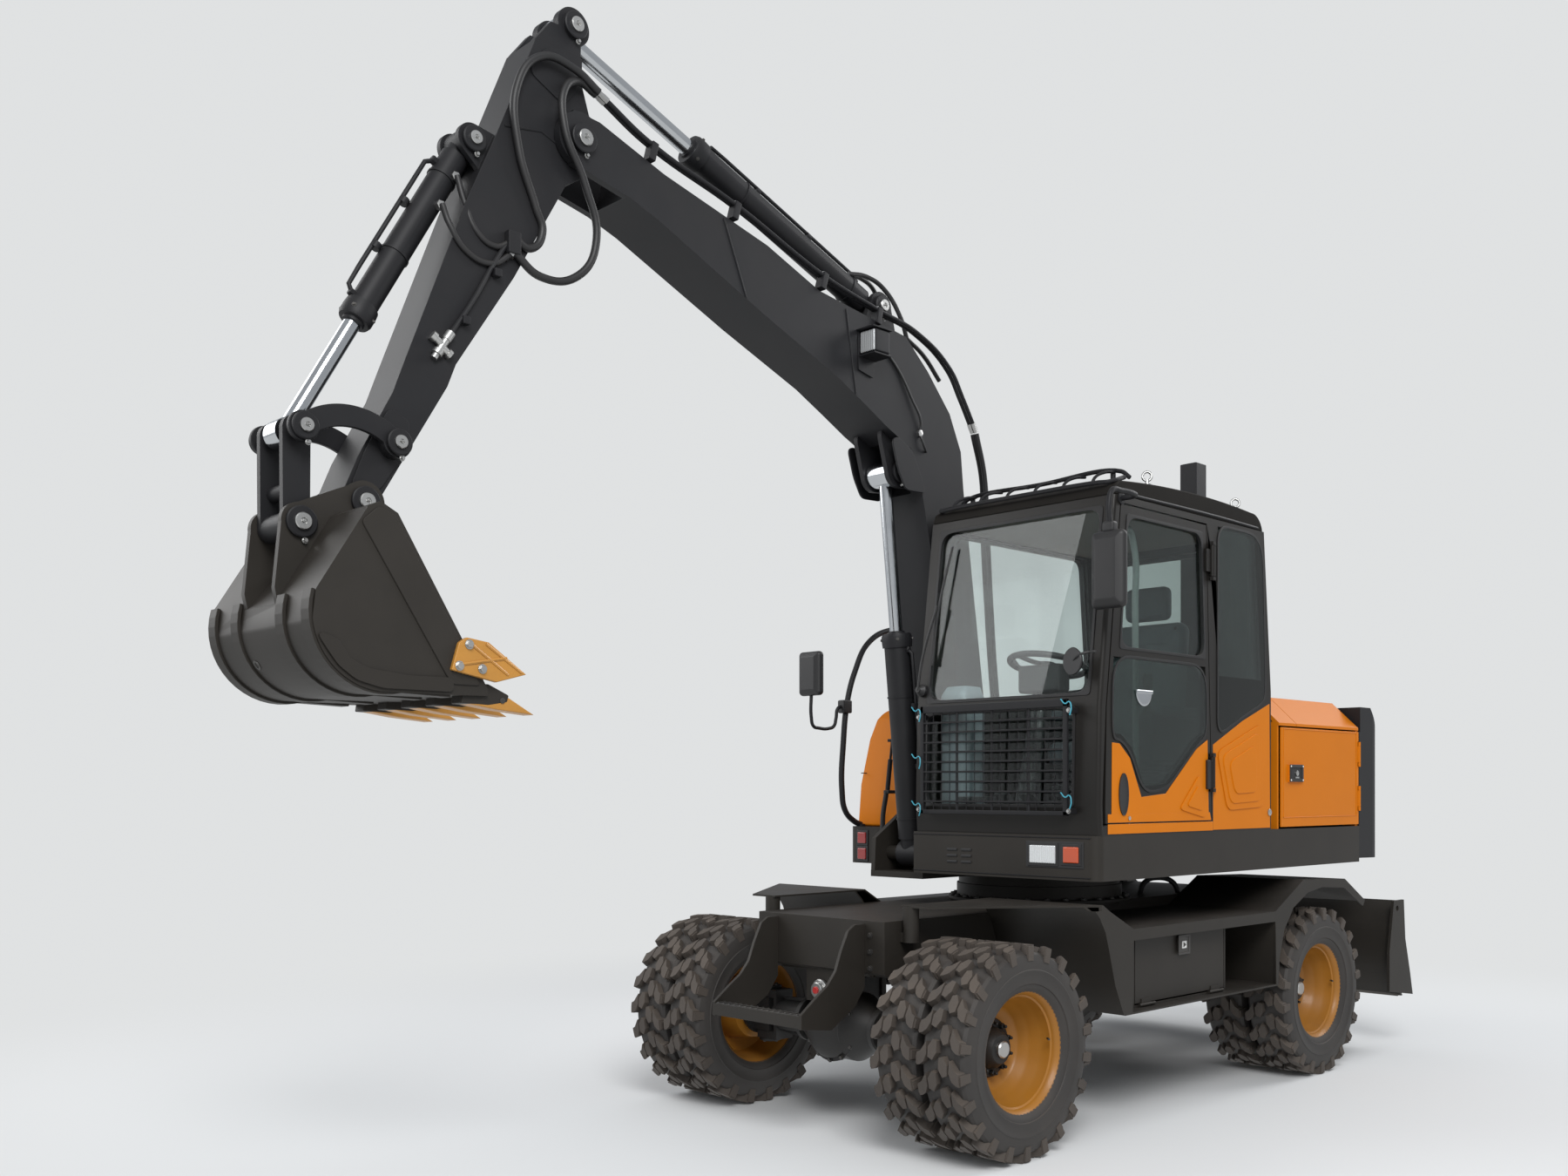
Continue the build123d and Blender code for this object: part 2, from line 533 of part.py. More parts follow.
# ---------------------------------------------------------------- upper structure
# Deck with the boom bracket: two upright cheeks with the pins of boom and boom cylinder.
CHEEK_IN = (GEAR_X + BRACKET_IN, GEAR_X - BRACKET_IN)
CHEEK_OUT = (CHEEK_IN[0] + BRACKET_T, CHEEK_IN[1] - BRACKET_T)
with BuildPart() as upper_frame:
    slab([(UPPER_HALF, UPPER_FRONT), (CHEEK_OUT[0], UPPER_FRONT), (CHEEK_OUT[0], 150),
          (CHEEK_OUT[1], 150), (CHEEK_OUT[1], RIGHT_FRONT), (-UPPER_HALF, RIGHT_FRONT),
          (-UPPER_HALF, DECK_REAR), (UPPER_HALF, DECK_REAR)], DECK_LOW, DECK_TOP)
    outer = upper_frame.edges().filter_by(Axis.Z).filter_by(
        lambda e: abs(e.center().X) > UPPER_HALF - 1 and e.center().Y < 0)
    fillet(outer, 50)
    bar_z(0, 0, RING_R - 10, RING_TOP + SEAT, DECK_LOW + 10)
    bar_z(0, 0, RING_BORE + 20, RING_TOP, DECK_LOW, Mode.SUBTRACT)
    for x_left, x_right in ((CHEEK_OUT[0], CHEEK_IN[0]), (CHEEK_IN[1], CHEEK_OUT[1])):
        plate([(-200, DECK_LOW), (-200, 1320), (210, 1520), (400, 1528), (470, 1450),
               (800, 1235), (810, 1050), (300, 1050)], x_left, x_right)
    block((CHEEK_OUT[0], CHEEK_OUT[1]), (300, 810), (1045, 1075))
    bar(BOOM_FOOT, 45, CHEEK_OUT[0] + 8, CHEEK_OUT[1] - 8)
    bar(BOOM_CYL_BASE, PIN_R, CHEEK_OUT[0] + 8, CHEEK_OUT[1] - 8)
finish(upper_frame, "upper_frame")

with BuildPart() as counterweight:
    plate([(DECK_REAR, 1100), (DECK_REAR, HOOD_SHOULDER - 8), (DECK_REAR - 12, HOOD_SHOULDER - 8),
           (DECK_REAR - 12, 1924), (-1739, 1924), (-1857, 1791), (-1915, 1209), (-1822, 1096)],
          UPPER_HALF, -UPPER_HALF)
    with BuildSketch(Plane.XY.offset(DECK_LOW)) as plan:
        with Locations((0, -DECK_REAR)):
            Rectangle(2 * UPPER_HALF, 330, align=(Align.CENTER, Align.MIN))
        fillet(plan.vertices().sort_by(Axis.Y)[-2:], 170)
    extrude(plan.sketch, amount=HOOD_TOP - DECK_LOW, mode=Mode.INTERSECT)
finish(counterweight, "counterweight")

with BuildPart() as engine_block:
    block((-420, 380), (-1450, -850), (DECK_TOP, 1720))
finish(engine_block, "engine_block")

# Bulkhead behind the cab with the fixed shelf that carries the exhaust, the cover between
# cab and side box, and the rear posts.  The hinged hood carries on the shelf's section.
SHELF_REAR = -880
HOOD_SKIN = 14
HOOD_HINGE = (SHELF_REAR - 3, HOOD_TOP + 8)
HOOD_HINGES = (700, -620)   # left end of each hinge barrel of the hood


def hood_section(front, rear):
    """Skin of the hood, chamfered along its sides, between two forward positions."""
    with BuildSketch(Plane.XZ.offset(front)) as shell:
        with BuildLine():
            outer = [(UPPER_HALF, HOOD_SHOULDER), (UPPER_HALF, HOOD_SHOULDER + 14),
                     (UPPER_HALF - 150, HOOD_TOP), (150 - UPPER_HALF, HOOD_TOP),
                     (-UPPER_HALF, HOOD_SHOULDER + 14), (-UPPER_HALF, HOOD_SHOULDER)]
            inner = [(HOOD_SKIN - UPPER_HALF, HOOD_SHOULDER),
                     (156 - UPPER_HALF, HOOD_TOP - HOOD_SKIN),
                     (UPPER_HALF - 156, HOOD_TOP - HOOD_SKIN),
                     (UPPER_HALF - HOOD_SKIN, HOOD_SHOULDER)]
            Polyline(*outer, *inner, close=True)
        make_face()
    extrude(shell.sketch, amount=rear - front)


DOOR_HINGE = (UPPER_HALF + 4, DECK_REAR + 8)
DOOR_HINGES = (1380, 1620)   # low end of each hinge barrel of a service door
DOOR_BARREL = 90
with BuildPart() as engine_bulkhead:
    block((-UPPER_HALF + 10, UPPER_HALF - 10), (HOOD_FRONT, HOOD_FRONT + 14),
          (DECK_TOP, HOOD_SHOULDER + 20))
    hood_section(HOOD_FRONT + 14, SHELF_REAR)
    for left in HOOD_HINGES:
        for end in (left + KNUCKLE, left - LID_BARREL):
            bar(HOOD_HINGE, HINGE_R, end, end - KNUCKLE)
            block((end, end - KNUCKLE), (HOOD_HINGE[0], SHELF_REAR + 20),
                  (HOOD_TOP - 2, HOOD_HINGE[1] - 2))
            block((end, end - KNUCKLE), (HOOD_HINGE[0], SHELF_REAR), (HOOD_TOP - 2, HOOD_TOP),
                  Mode.SUBTRACT)
        bar(HOOD_HINGE, HINGE_PIN_R, left + KNUCKLE, left - LID_BARREL - KNUCKLE)
    block((CHEEK_OUT[1] - 40, CHEEK_OUT[0]), (HOOD_FRONT + 14, -205), (DECK_TOP, 1700))
    for sign in (-1, 1):
        posts = (sign * (UPPER_HALF - 10), sign * (UPPER_HALF - 80))
        block(posts, (DECK_REAR, DECK_REAR + 30), (DECK_TOP, HOOD_SHOULDER - SEAT))
        pin_x = sign * DOOR_HINGE[0]
        for low in DOOR_HINGES:
            for end in (low - KNUCKLE, low + DOOR_BARREL):
                bar_z(pin_x, DOOR_HINGE[1], HINGE_R, end, end + KNUCKLE)
                block((posts[0] - sign, pin_x), (DECK_REAR + 1, DECK_REAR + 6), (end, end + KNUCKLE))
            bar_z(pin_x, DOOR_HINGE[1], HINGE_PIN_R, low - KNUCKLE, low + DOOR_BARREL + KNUCKLE)
finish(engine_bulkhead, "engine_bulkhead")

# Top hood, hinged along its front edge.
with BuildPart() as engine_hood:
    hood_section(SHELF_REAR - 6, DECK_REAR + 12)
    for left in HOOD_HINGES:
        barrel_span = (left - 1, left - LID_BARREL + 1)
        bar(HOOD_HINGE, HINGE_R, *barrel_span)
        block(barrel_span, (HOOD_HINGE[0] - 3, HOOD_HINGE[0] - 24), (HOOD_TOP, HOOD_HINGE[1] - 2))
        bar(HOOD_HINGE, HINGE_PIN_R + PIN_FIT, *barrel_span, Mode.SUBTRACT)
finish(engine_hood, "engine_hood")

# Side doors of the engine bay.
DOOR_LOW = DECK_TOP + 10
for sign, node in ((1, "service_door_left"), (-1, "service_door_right")):
    with BuildPart() as service_door:
        skin = sorted((sign * UPPER_HALF, sign * (UPPER_HALF - 8)))
        block(skin, (HOOD_FRONT - 10, DECK_REAR + 8), (DOOR_LOW, HOOD_SHOULDER - 8))
        block(sorted((sign * UPPER_HALF, sign * (UPPER_HALF + 10))), (-940, -790), (1510, 1600))
        pin_x = sign * DOOR_HINGE[0]
        for low in DOOR_HINGES:
            block(skin, (DOOR_HINGE[1], DOOR_HINGE[1] + HINGE_R + 2),
                  (low - KNUCKLE - 2, low + DOOR_BARREL + KNUCKLE + 2), Mode.SUBTRACT)
            bar_z(pin_x, DOOR_HINGE[1], HINGE_R, low + 1, low + DOOR_BARREL - 1)
            block((skin[0] if sign > 0 else skin[1], pin_x),
                  (DOOR_HINGE[1] + 2, DOOR_HINGE[1] + HINGE_R + 4), (low + 1, low + DOOR_BARREL - 1))
            bar_z(pin_x, DOOR_HINGE[1], HINGE_PIN_R + PIN_FIT, low, low + DOOR_BARREL,
                  Mode.SUBTRACT)
    finish(service_door, node)

# Box of the right-hand side, in front of the engine bay.
BOX_TOP = 1912
with BuildPart() as right_box:
    plate([(HOOD_FRONT + 14, DECK_TOP), (356, DECK_TOP), (335, 1500), (264, 1750), (205, 1860),
           (140, BOX_TOP), (HOOD_FRONT + 14, BOX_TOP)], -590, -UPPER_HALF + 12)
    chamfer(right_box.faces().sort_by(Axis.Z)[-1].edges().filter_by(Axis.Y), 22)
finish(right_box, "right_box")

# ---------------------------------------------------------------- cab
CAB_OUT = UPPER_HALF
CAB_SIDE = [(858, DECK_TOP), (868, 1400), (858, 1830), (745, ROOF_SEAM), (-548, ROOF_SEAM),
            (-618, 1960), (-618, DECK_TOP)]
CAB_INSIDE = [(816, DECK_TOP + 40), (820, 1400), (810, 1826), (698, ROOF_SEAM + 10),
              (-502, ROOF_SEAM + 10), (-570, 1950), (-570, DECK_TOP + 40)]
DOOR_OPENING = [(824, DECK_TOP + 45), (826, 1400), (815, 1826), (705, ROOF_SEAM - 30),
                (-8, ROOF_SEAM - 30), (-58, DECK_TOP + 45)]
CLAD_T = 6
CLADDING = [(-66, DECK_TOP + 8), (-64, 1684), (-98, 1699), (-337, 1804), (-606, 1900),
            (-612, DECK_TOP + 8)]
HINGE = (CAB_OUT + 14, -36)
HINGES = ((1480, -24), (2470, 16))   # foot of each hinge, and how far forward its strap runs
HINGE_LONG = 145
QUARTER = [(-108, ROOF_SEAM - 30), (-455, ROOF_SEAM - 30), (-520, 2010), (-118, 2010)]
with BuildPart() as cab_frame:
    plate(CAB_SIDE, CAB_OUT, CAB_IN)
    plate(CAB_INSIDE, CAB_OUT - CAB_WALL, CAB_IN + CAB_WALL, Mode.SUBTRACT)
    plate(DOOR_OPENING, CAB_OUT + 5, CAB_OUT - CAB_WALL - 5, Mode.SUBTRACT)
    plate(QUARTER, CAB_OUT + 5, CAB_OUT - CAB_WALL - 5, Mode.SUBTRACT)
    plate([(640, ROOF_SEAM - 35), (-455, ROOF_SEAM - 35), (-520, 2010), (640, 1880)],
          CAB_IN + CAB_WALL + 5, CAB_IN - 5, Mode.SUBTRACT)
    block((CAB_IN + 60, CAB_OUT - 60), (740, 950), (1885, ROOF_SEAM - 45), Mode.SUBTRACT)
    block((CAB_IN + 60, CAB_OUT - 60), (600, 800), (1885, ROOF_SEAM - 45), Mode.SUBTRACT)
    block((CAB_IN + 60, CAB_OUT - 130), (740, 950), (1400, 1830), Mode.SUBTRACT)
    block((CAB_IN + 110, CAB_OUT - 110), (-700, -480), (2010, ROOF_SEAM - 60), Mode.SUBTRACT)
    plate(CLADDING, CAB_OUT, CAB_OUT - CLAD_T, Mode.SUBTRACT)
    for low, strap_front in HINGES:
        for foot in (low - 18, low + HINGE_LONG + 2):
            slab([(CAB_OUT, -92), (CAB_OUT, HINGE[1] - 10), (HINGE[0] - 6, HINGE[1] + 12),
                  (HINGE[0] + 10, HINGE[1] + 8), (HINGE[0] + 10, HINGE[1] - 12)], foot, foot + 16)
        bar_z(*HINGE, 6, low - 10, low + HINGE_LONG + 10)
finish(cab_frame, "cab_frame")

with BuildPart() as cab_roof:
    with BuildSketch(side(CAB_OUT - 4)) as outline:
        with BuildLine():
            Polyline((752, ROOF_SEAM), (738, ROOF_SEAM + 42), (700, ROOF_SEAM + 66))
            ThreePointArc((700, ROOF_SEAM + 66), (150, ROOF_SEAM + 98), (-440, ROOF_SEAM + 82))
            ThreePointArc((-440, ROOF_SEAM + 82), (-515, ROOF_SEAM + 56), (-548, ROOF_SEAM))
            Line((-548, ROOF_SEAM), (752, ROOF_SEAM))
        make_face()
    extrude(outline.sketch, amount=CAB_OUT - 8 - CAB_IN)
finish(cab_roof, "cab_roof")

# Orange cladding of the cab's side behind the door.
with BuildPart() as cab_side_panel:
    plate(CLADDING, CAB_OUT, CAB_OUT - CLAD_T)
finish(cab_side_panel, "cab_side_panel")

# Rear-hinged door: black frame with a mid bar, orange lower panel, two panes.
DOOR_T_CAB = 34
DOOR_EDGE = [(816, DECK_TOP + 52), (818, 1400), (807, 1826), (698, ROOF_SEAM - 38),
             (-2, ROOF_SEAM - 38), (-52, DECK_TOP + 52)]
UPPER_PANE = [(708, 2085), (652, 2668), (34, 2668), (6, 2085)]
LOWER_PANE = [(768, 1715), (757, 2045), (4, 2045), (-8, 1745), (84, 1702), (250, 1572),
              (350, 1500), (520, 1484), (616, 1656), (700, 1712)]
PANEL_TOP = [(768, 1675), (712, 1672), (632, 1610), (542, 1440), (345, 1455), (249, 1530),
             (84, 1660), (-14, 1705)]
with BuildPart() as cab_door:
    plate(DOOR_EDGE, CAB_OUT, CAB_OUT - DOOR_T_CAB)
    plate(UPPER_PANE, CAB_OUT, CAB_OUT - DOOR_T_CAB, Mode.SUBTRACT)
    plate(LOWER_PANE, CAB_OUT, CAB_OUT - DOOR_T_CAB, Mode.SUBTRACT)
    plate(PANEL_TOP + [(-24, DECK_TOP + 90), (772, DECK_TOP + 90)],
          CAB_OUT, CAB_OUT - 8, Mode.SUBTRACT)
    for low, strap_front in HINGES:
        strap = (low + 20, low + HINGE_LONG - 20)
        bar_z(*HINGE, 13, low, low + HINGE_LONG)
        block((CAB_OUT + 1, HINGE[0]), (HINGE[1] - 4, strap_front), strap)
        block((CAB_OUT - 9, CAB_OUT + 1), (strap_front - 18, strap_front), strap)
        bar_z(*HINGE, 6 + PIN_FIT, low - 1, low + HINGE_LONG + 1, Mode.SUBTRACT)
finish(cab_door, "cab_door")
with BuildPart() as cab_door_panel:
    plate(PANEL_TOP + [(-24, DECK_TOP + 90), (772, DECK_TOP + 90)], CAB_OUT + 2, CAB_OUT - 8)
finish(cab_door_panel, "cab_door_panel")
with BuildPart() as cab_door_glass:
    plate(UPPER_PANE, CAB_OUT - 14, CAB_OUT - 20)
    plate(LOWER_PANE, CAB_OUT - 14, CAB_OUT - 20)
finish(cab_door_glass, "cab_door_glass")

# Fixed panes: upper and lower windshield, right side, rear and rear quarter.
GLASS_T = 6


def slope_at(z, low, high):
    """Forward position on a sloping wall that runs from low to high."""
    return low[0] + (high[0] - low[0]) * (z - low[1]) / (high[1] - low[1])


with BuildPart() as cab_glass:
    for low, high, z_low, z_high, inset, x_left, x_right in (
        (CAB_SIDE[2], CAB_SIDE[3], 1885, ROOF_SEAM - 45, 14, CAB_OUT - 60, CAB_IN + 60),
        (CAB_SIDE[1], CAB_SIDE[2], 1400, 1830, 14, CAB_OUT - 130, CAB_IN + 60),
        (CAB_SIDE[5], CAB_SIDE[4], 2010, ROOF_SEAM - 60, -14, CAB_OUT - 110, CAB_IN + 110),
    ):
        bottom = slope_at(z_low, low, high) - inset
        top = slope_at(z_high, low, high) - inset
        plate([(bottom, z_low), (top, z_high), (top - GLASS_T, z_high),
               (bottom - GLASS_T, z_low)], x_left, x_right)
    plate([(640, ROOF_SEAM - 35), (-455, ROOF_SEAM - 35), (-520, 2010), (640, 1880)],
          CAB_IN + 28, CAB_IN + 28 - GLASS_T)
    plate(QUARTER, CAB_OUT - 14, CAB_OUT - 14 - GLASS_T)
finish(cab_glass, "cab_glass")

# Seat on its pedestal, and the steering column with its wheel.
SEAT_X = 450
CAB_FLOOR = DECK_TOP + 40
with BuildPart() as operator_seat:
    block((SEAT_X - 200, SEAT_X + 200), (-240, 180), (CAB_FLOOR, 1560))
    chamfer(operator_seat.edges().filter_by(Axis.Z), 60)
    block((SEAT_X - 245, SEAT_X + 245), (-250, 240), (1560, 1700))
    plate([(-160, 1700), (-255, 2300), (-345, 2300), (-300, 1620), (-160, 1640)],
          SEAT_X + 235, SEAT_X - 235)
    plate([(-270, 2300), (-285, 2490), (-350, 2490), (-345, 2300)], SEAT_X + 130, SEAT_X - 130)
    for sign in (-1, 1):
        block((SEAT_X + sign * 250, SEAT_X + sign * 350), (-150, 230), (1600, 1860))
        block((SEAT_X + sign * 240, SEAT_X + sign * 255), (-150, 100), (1600, 1680))
finish(operator_seat, "operator_seat")
WHEEL_HUB = (440, 1985)
with BuildPart() as steering_column:
    rod_between(SEAT_X, (600, CAB_FLOOR), WHEEL_HUB, 20, 690, 46)
    block((SEAT_X - 110, SEAT_X + 110), (540, 680), (CAB_FLOOR, CAB_FLOOR + 60))
    rim_plane = Plane(origin=(SEAT_X, -WHEEL_HUB[0], WHEEL_HUB[1]), x_dir=(1, 0, 0),
                      z_dir=Vector(0, 160, 666).normalized())
    with BuildSketch(rim_plane) as rim:
        Circle(178)
        Circle(152, mode=Mode.SUBTRACT)
        Rectangle(320, 26)
        Circle(40)
    extrude(rim.sketch, amount=24)
finish(steering_column, "steering_column")

# Bar guard before the lower windshield.
GUARD_X = (836, -3)
GUARD_Z = (1360, 1862)
GUARD_F = 905
with BuildPart() as front_guard:
    block(GUARD_X, (GUARD_F - 7, GUARD_F + 7), GUARD_Z)
    rows = 8
    pitch = (GUARD_Z[1] - GUARD_Z[0] - 24) / rows
    for row in range(rows):
        low = GUARD_Z[0] + 20 + row * pitch
        block((GUARD_X[0] - 18, GUARD_X[1] + 18), (GUARD_F - 20, GUARD_F + 20),
              (low, low + pitch - 16), Mode.SUBTRACT)
    for x in (0.24, 0.5, 0.76):
        middle = GUARD_X[1] + x * (GUARD_X[0] - GUARD_X[1])
        block((middle - 8, middle + 8), (GUARD_F - 7, GUARD_F + 1), GUARD_Z)
    for x in (GUARD_X[0] - 9, GUARD_X[1] + 9):
        for z, low, high in ((GUARD_Z[0] + 20, CAB_SIDE[0], CAB_SIDE[1]),
                             (GUARD_Z[1] - 50, CAB_SIDE[1], CAB_SIDE[2])):
            plate([(slope_at(z - 12, low, high), z - 12), (GUARD_F - 7, z - 12),
                   (GUARD_F - 7, z + 12), (slope_at(z + 12, low, high), z + 12)], x + 9, x - 9)
finish(front_guard, "front_guard")


def tube_path(points, bend, radius):
    """Bent round tube along the points, its corners rounded to one bend radius."""
    with BuildLine() as route:
        FilletPolyline(*points, radius=bend)
    with BuildSketch(route.line ^ 0) as disc:
        Circle(radius)
    sweep(sections=disc.sketch, path=route.line)


RAIL_X = -900
RAIL = [(385, DECK_TOP + 12), (530, 1470), (490, 1940), (330, 2266), (140, 2354), (-170, 2354),
        (-260, 2250), (-260, BOX_TOP + 8)]

# Left mirror on its bracket off the roof corner; right mirror on the deck's hand rail.
with BuildPart() as mirrors:
    block((976, 1142), (895, 950), (2226, 2552))
    fillet(mirrors.edges().filter_by(Axis.Y), 30)
    block((1046, 1070), (905, 935), (2540, 2743))
    block((CAB_OUT, 1070), (690, 720), (2719, 2743))
    block((1046, 1070), (690, 935), (2719, 2743))
    block((-980, -822), (730, 780), (1962, 2192))
    block((-912, -888), (748, 766), (1780, 1970))
    rod_between(RAIL_X, (757, 1800), (506, 1760), 0, 250, 11)
    block((-920, -880), (367, 403), (DECK_TOP, DECK_TOP + 14))
    block((-920, -880), (-280, -240), (BOX_TOP, BOX_TOP + 10))
    tube_path([(RAIL_X, -f, z) for f, z in RAIL], 60, 15)
finish(mirrors, "mirrors")

STACK = (420, -800)
with BuildPart() as exhaust_stack:
    block((STACK[0] - 50, STACK[0] + 50), (STACK[1] - 50, STACK[1] + 50), (HOOD_TOP, 3205))
    block((STACK[0] - 70, STACK[0] + 70), (STACK[1] - 70, STACK[1] + 70), (HOOD_TOP, HOOD_TOP + 24))
finish(exhaust_stack, "exhaust_stack")

# ---------------------------------------------------------------- boom
# Bent box girder with a fork at the tip; the cylinder lugs stand on its belly and back.
BOOM_OUTLINE = [
    (330 - 100, 1400), (470, 2960), (490, 3145), (575, 3318), (735, 3490), (893, 3625),
    (1471, 3703), (1782, 3820), (2343, 3955), (2659, 4060), (BOOM_TIP[0] + 40, 4070),
    (BOOM_TIP[0] + 40, 3866), (2741, 3858), (2520, 3812), (2376, 3763), (1801, 3517),
    (1541, 3414), (1349, 3339), (1180, 3254), (1028, 3175), (860, 3100), (800, 2990),
    (766, 2853), (330 + 100, 1390),
]
with BuildPart() as boom:
    plate(BOOM_OUTLINE, GEAR_X + BOOM_HALF, GEAR_X - BOOM_HALF)
    bar(BOOM_FOOT, 100, GEAR_X + BOOM_HALF, GEAR_X - BOOM_HALF)
    bar(BOOM_TIP, 104, GEAR_X + BOOM_HALF, GEAR_X - BOOM_HALF)
    bar(BOOM_TIP, 264, GEAR_X + FORK_IN, GEAR_X - FORK_IN, Mode.SUBTRACT)
    plate([(BOOM_TIP[0] - 200, 4300), (BOOM_TIP[0] - 200, 3600), (BOOM_TIP[0] + 300, 3600),
           (BOOM_TIP[0] + 300, 4300)], GEAR_X + FORK_IN, GEAR_X - FORK_IN, Mode.SUBTRACT)
    bar(BOOM_CYL_EYE, 142, GEAR_X + 66, GEAR_X - 66, Mode.SUBTRACT)
    for span in mirrored_pair(66, 66 + LUG_T, GEAR_X):
        lug([(BOOM_CYL_EYE, 74), ((940, 3150), 74), ((760, 2990), 60)], *span)
    for span in mirrored_pair(66 + LUG_T, 66 + LUG_T + 10, GEAR_X):
        bar(BOOM_CYL_EYE, 45, *span)
    for span in mirrored_pair(LUG_IN, LUG_IN + LUG_T, GEAR_X):
        lug([(ARM_CYL_BASE, 68), ((1010, 3600), 120)], *span)
    bar(ARM_CYL_BASE, PIN_R, GEAR_X + LUG_IN + LUG_T + 8, GEAR_X - LUG_IN - LUG_T - 8)
    bar(BOOM_FOOT, 45 + PIN_FIT, GEAR_X + BOOM_HALF + 1, GEAR_X - BOOM_HALF - 1, Mode.SUBTRACT)
    bar(BOOM_TIP, 40, GEAR_X + BOOM_HALF + 10, GEAR_X - BOOM_HALF - 10)
finish(boom, "boom")

# ---------------------------------------------------------------- stick
HEAD_F, HEAD_Z = STICK_TOP
STICK_OUTLINE = [
    (HEAD_F - 34, HEAD_Z - 19), (HEAD_F - 30, HEAD_Z - 219), (2640, 3960), (2700, 3850),
    (2789, 3789), (3019, 3376), (3177, 3130), (3259, 3003), (3293, 2917), (3545, 2490),
    (3680, 2500), (3633, 2613), (3505, 2855), (3462, 2970), (3212, 3620), (3093, 3889),
    (HEAD_F + 179, HEAD_Z - 117), (HEAD_F + 104, HEAD_Z - 19),
]
HEAD_SIDE = [(HEAD_F + df, HEAD_Z + dz) for df, dz in (
    (-246, -119), (354, -119), (354, 181), (-246, 181))]
HEAD_SLOT = [(HEAD_F + df, HEAD_Z + dz) for df, dz in (
    (-246, -110), (354, -110), (354, 181), (-246, 181))]
with BuildPart() as stick:
    plate(STICK_OUTLINE, GEAR_X + STICK_HALF, GEAR_X - STICK_HALF)
    bar(BOOM_TIP, 100, GEAR_X + STICK_HALF, GEAR_X - STICK_HALF)
    bar(STICK_TOP, 72, GEAR_X + STICK_HALF - 10, GEAR_X - STICK_HALF + 10)
    for span in mirrored_pair(STICK_HALF - 10, STICK_HALF + 5, GEAR_X):
        plate(HEAD_SIDE, *span, Mode.SUBTRACT)
    plate(HEAD_SLOT, GEAR_X + LUG_IN, GEAR_X - LUG_IN, Mode.SUBTRACT)
    for span in mirrored_pair(STICK_HALF - 10, STICK_HALF, GEAR_X):
        bar(STICK_TOP, 48, *span)
    for span in mirrored_pair(LUG_IN, LUG_IN + LUG_T, GEAR_X):
        lug([(BUCKET_CYL_BASE, 60), ((3080, 3800), 90)], *span)
    bar(BUCKET_CYL_BASE, SMALL_PIN_R, GEAR_X + LUG_IN + LUG_T + 8, GEAR_X - LUG_IN - LUG_T - 8)
    bar(BOOM_TIP, 40 + PIN_FIT, GEAR_X + STICK_HALF + 1, GEAR_X - STICK_HALF - 1, Mode.SUBTRACT)
    bar(STICK_END, 68, GEAR_X + STICK_HALF, GEAR_X - STICK_HALF)
    bar(STICK_END, PIN_R, GEAR_X + EAR_IN + EAR_T + 4, GEAR_X - EAR_IN - EAR_T - 4)
    bar(ROCKER_PIVOT, 50, GEAR_X + ROCKER_IN - 3, GEAR_X - ROCKER_IN + 3)
    bar(ROCKER_PIVOT, SMALL_PIN_R, GEAR_X + ROCKER_IN + ROCKER_T + 8,
        GEAR_X - ROCKER_IN - ROCKER_T - 8)
finish(stick, "stick")

# ---------------------------------------------------------------- bucket linkage
# Two arched rockers outside the stick; each carries half of the knee pin, so that the
# cylinder's eye has free room between the halves.
with BuildPart() as rockers:
    for sign in (-1, 1):
        inner, outer = GEAR_X + sign * ROCKER_IN, GEAR_X + sign * (ROCKER_IN + ROCKER_T)
        with BuildSketch(side(max(inner, outer))) as arch:
            with BuildLine():
                ends = (ROCKER_PIVOT, ROCKER_END)
                crown = (ROCKER_PIVOT[0] + 166, ROCKER_PIVOT[1] + 62)
                ThreePointArc(ends[0], crown, ends[1])
            trace(line_width=74)
            for end in ends:
                with Locations(end):
                    Circle(52)
        extrude(arch.sketch, amount=ROCKER_T)
        tip = sorted((GEAR_X + sign * LUG_IN, GEAR_X + sign * (ROCKER_IN + ROCKER_T + 6)))
        bar(ROCKER_END, SMALL_PIN_R, tip[1], tip[0])
    bar(ROCKER_PIVOT, SMALL_PIN_R + PIN_FIT, GEAR_X + 400, GEAR_X - 400, Mode.SUBTRACT)
finish(rockers, "rockers")

with BuildPart() as bucket_link:
    for span in mirrored_pair(LINK_IN, STICK_HALF, GEAR_X):
        lug([(ROCKER_END, 48), (BUCKET_KNEE, 46)], *span)
    bar(BUCKET_KNEE, 46, GEAR_X + STICK_HALF, GEAR_X - STICK_HALF)
    cross = along(ROCKER_END, BUCKET_KNEE, 195)
    bar(cross, 26, GEAR_X + STICK_HALF, GEAR_X - STICK_HALF)
    bar(ROCKER_END, SMALL_PIN_R + PIN_FIT, GEAR_X + 200, GEAR_X - 200, Mode.SUBTRACT)
finish(bucket_link, "bucket_link")

# ---------------------------------------------------------------- bucket
# Curved shell between two side plates, with ears for the stick and link pins.  Between the
# ears the shell steps down to a saddle, which leaves room for the stick's end and the link.
BUCKET_T = 22
LIP = (3310, 1793)
FLOOR = (3445, 1790)
HEEL = (3700, 1790)
BELLY = (3850, 1850)
BACK = (3932, 2009)
BACK_TOP = (3921, 2102)
BROW = (3644, 2374)
SADDLE = [(3924, 2080), (3820, 2205), (3640, 2268)]


def bucket_side():
    """Side view of the whole bucket, for an open line block."""
    Polyline(LIP, FLOOR, HEEL)
    ThreePointArc(HEEL, BELLY, BACK)
    Polyline(BACK, BACK_TOP, (3747, 2384), (3705, 2405), BROW, (3416, 1994),
             (LIP[0], LIP[1] + BUCKET_T), LIP)


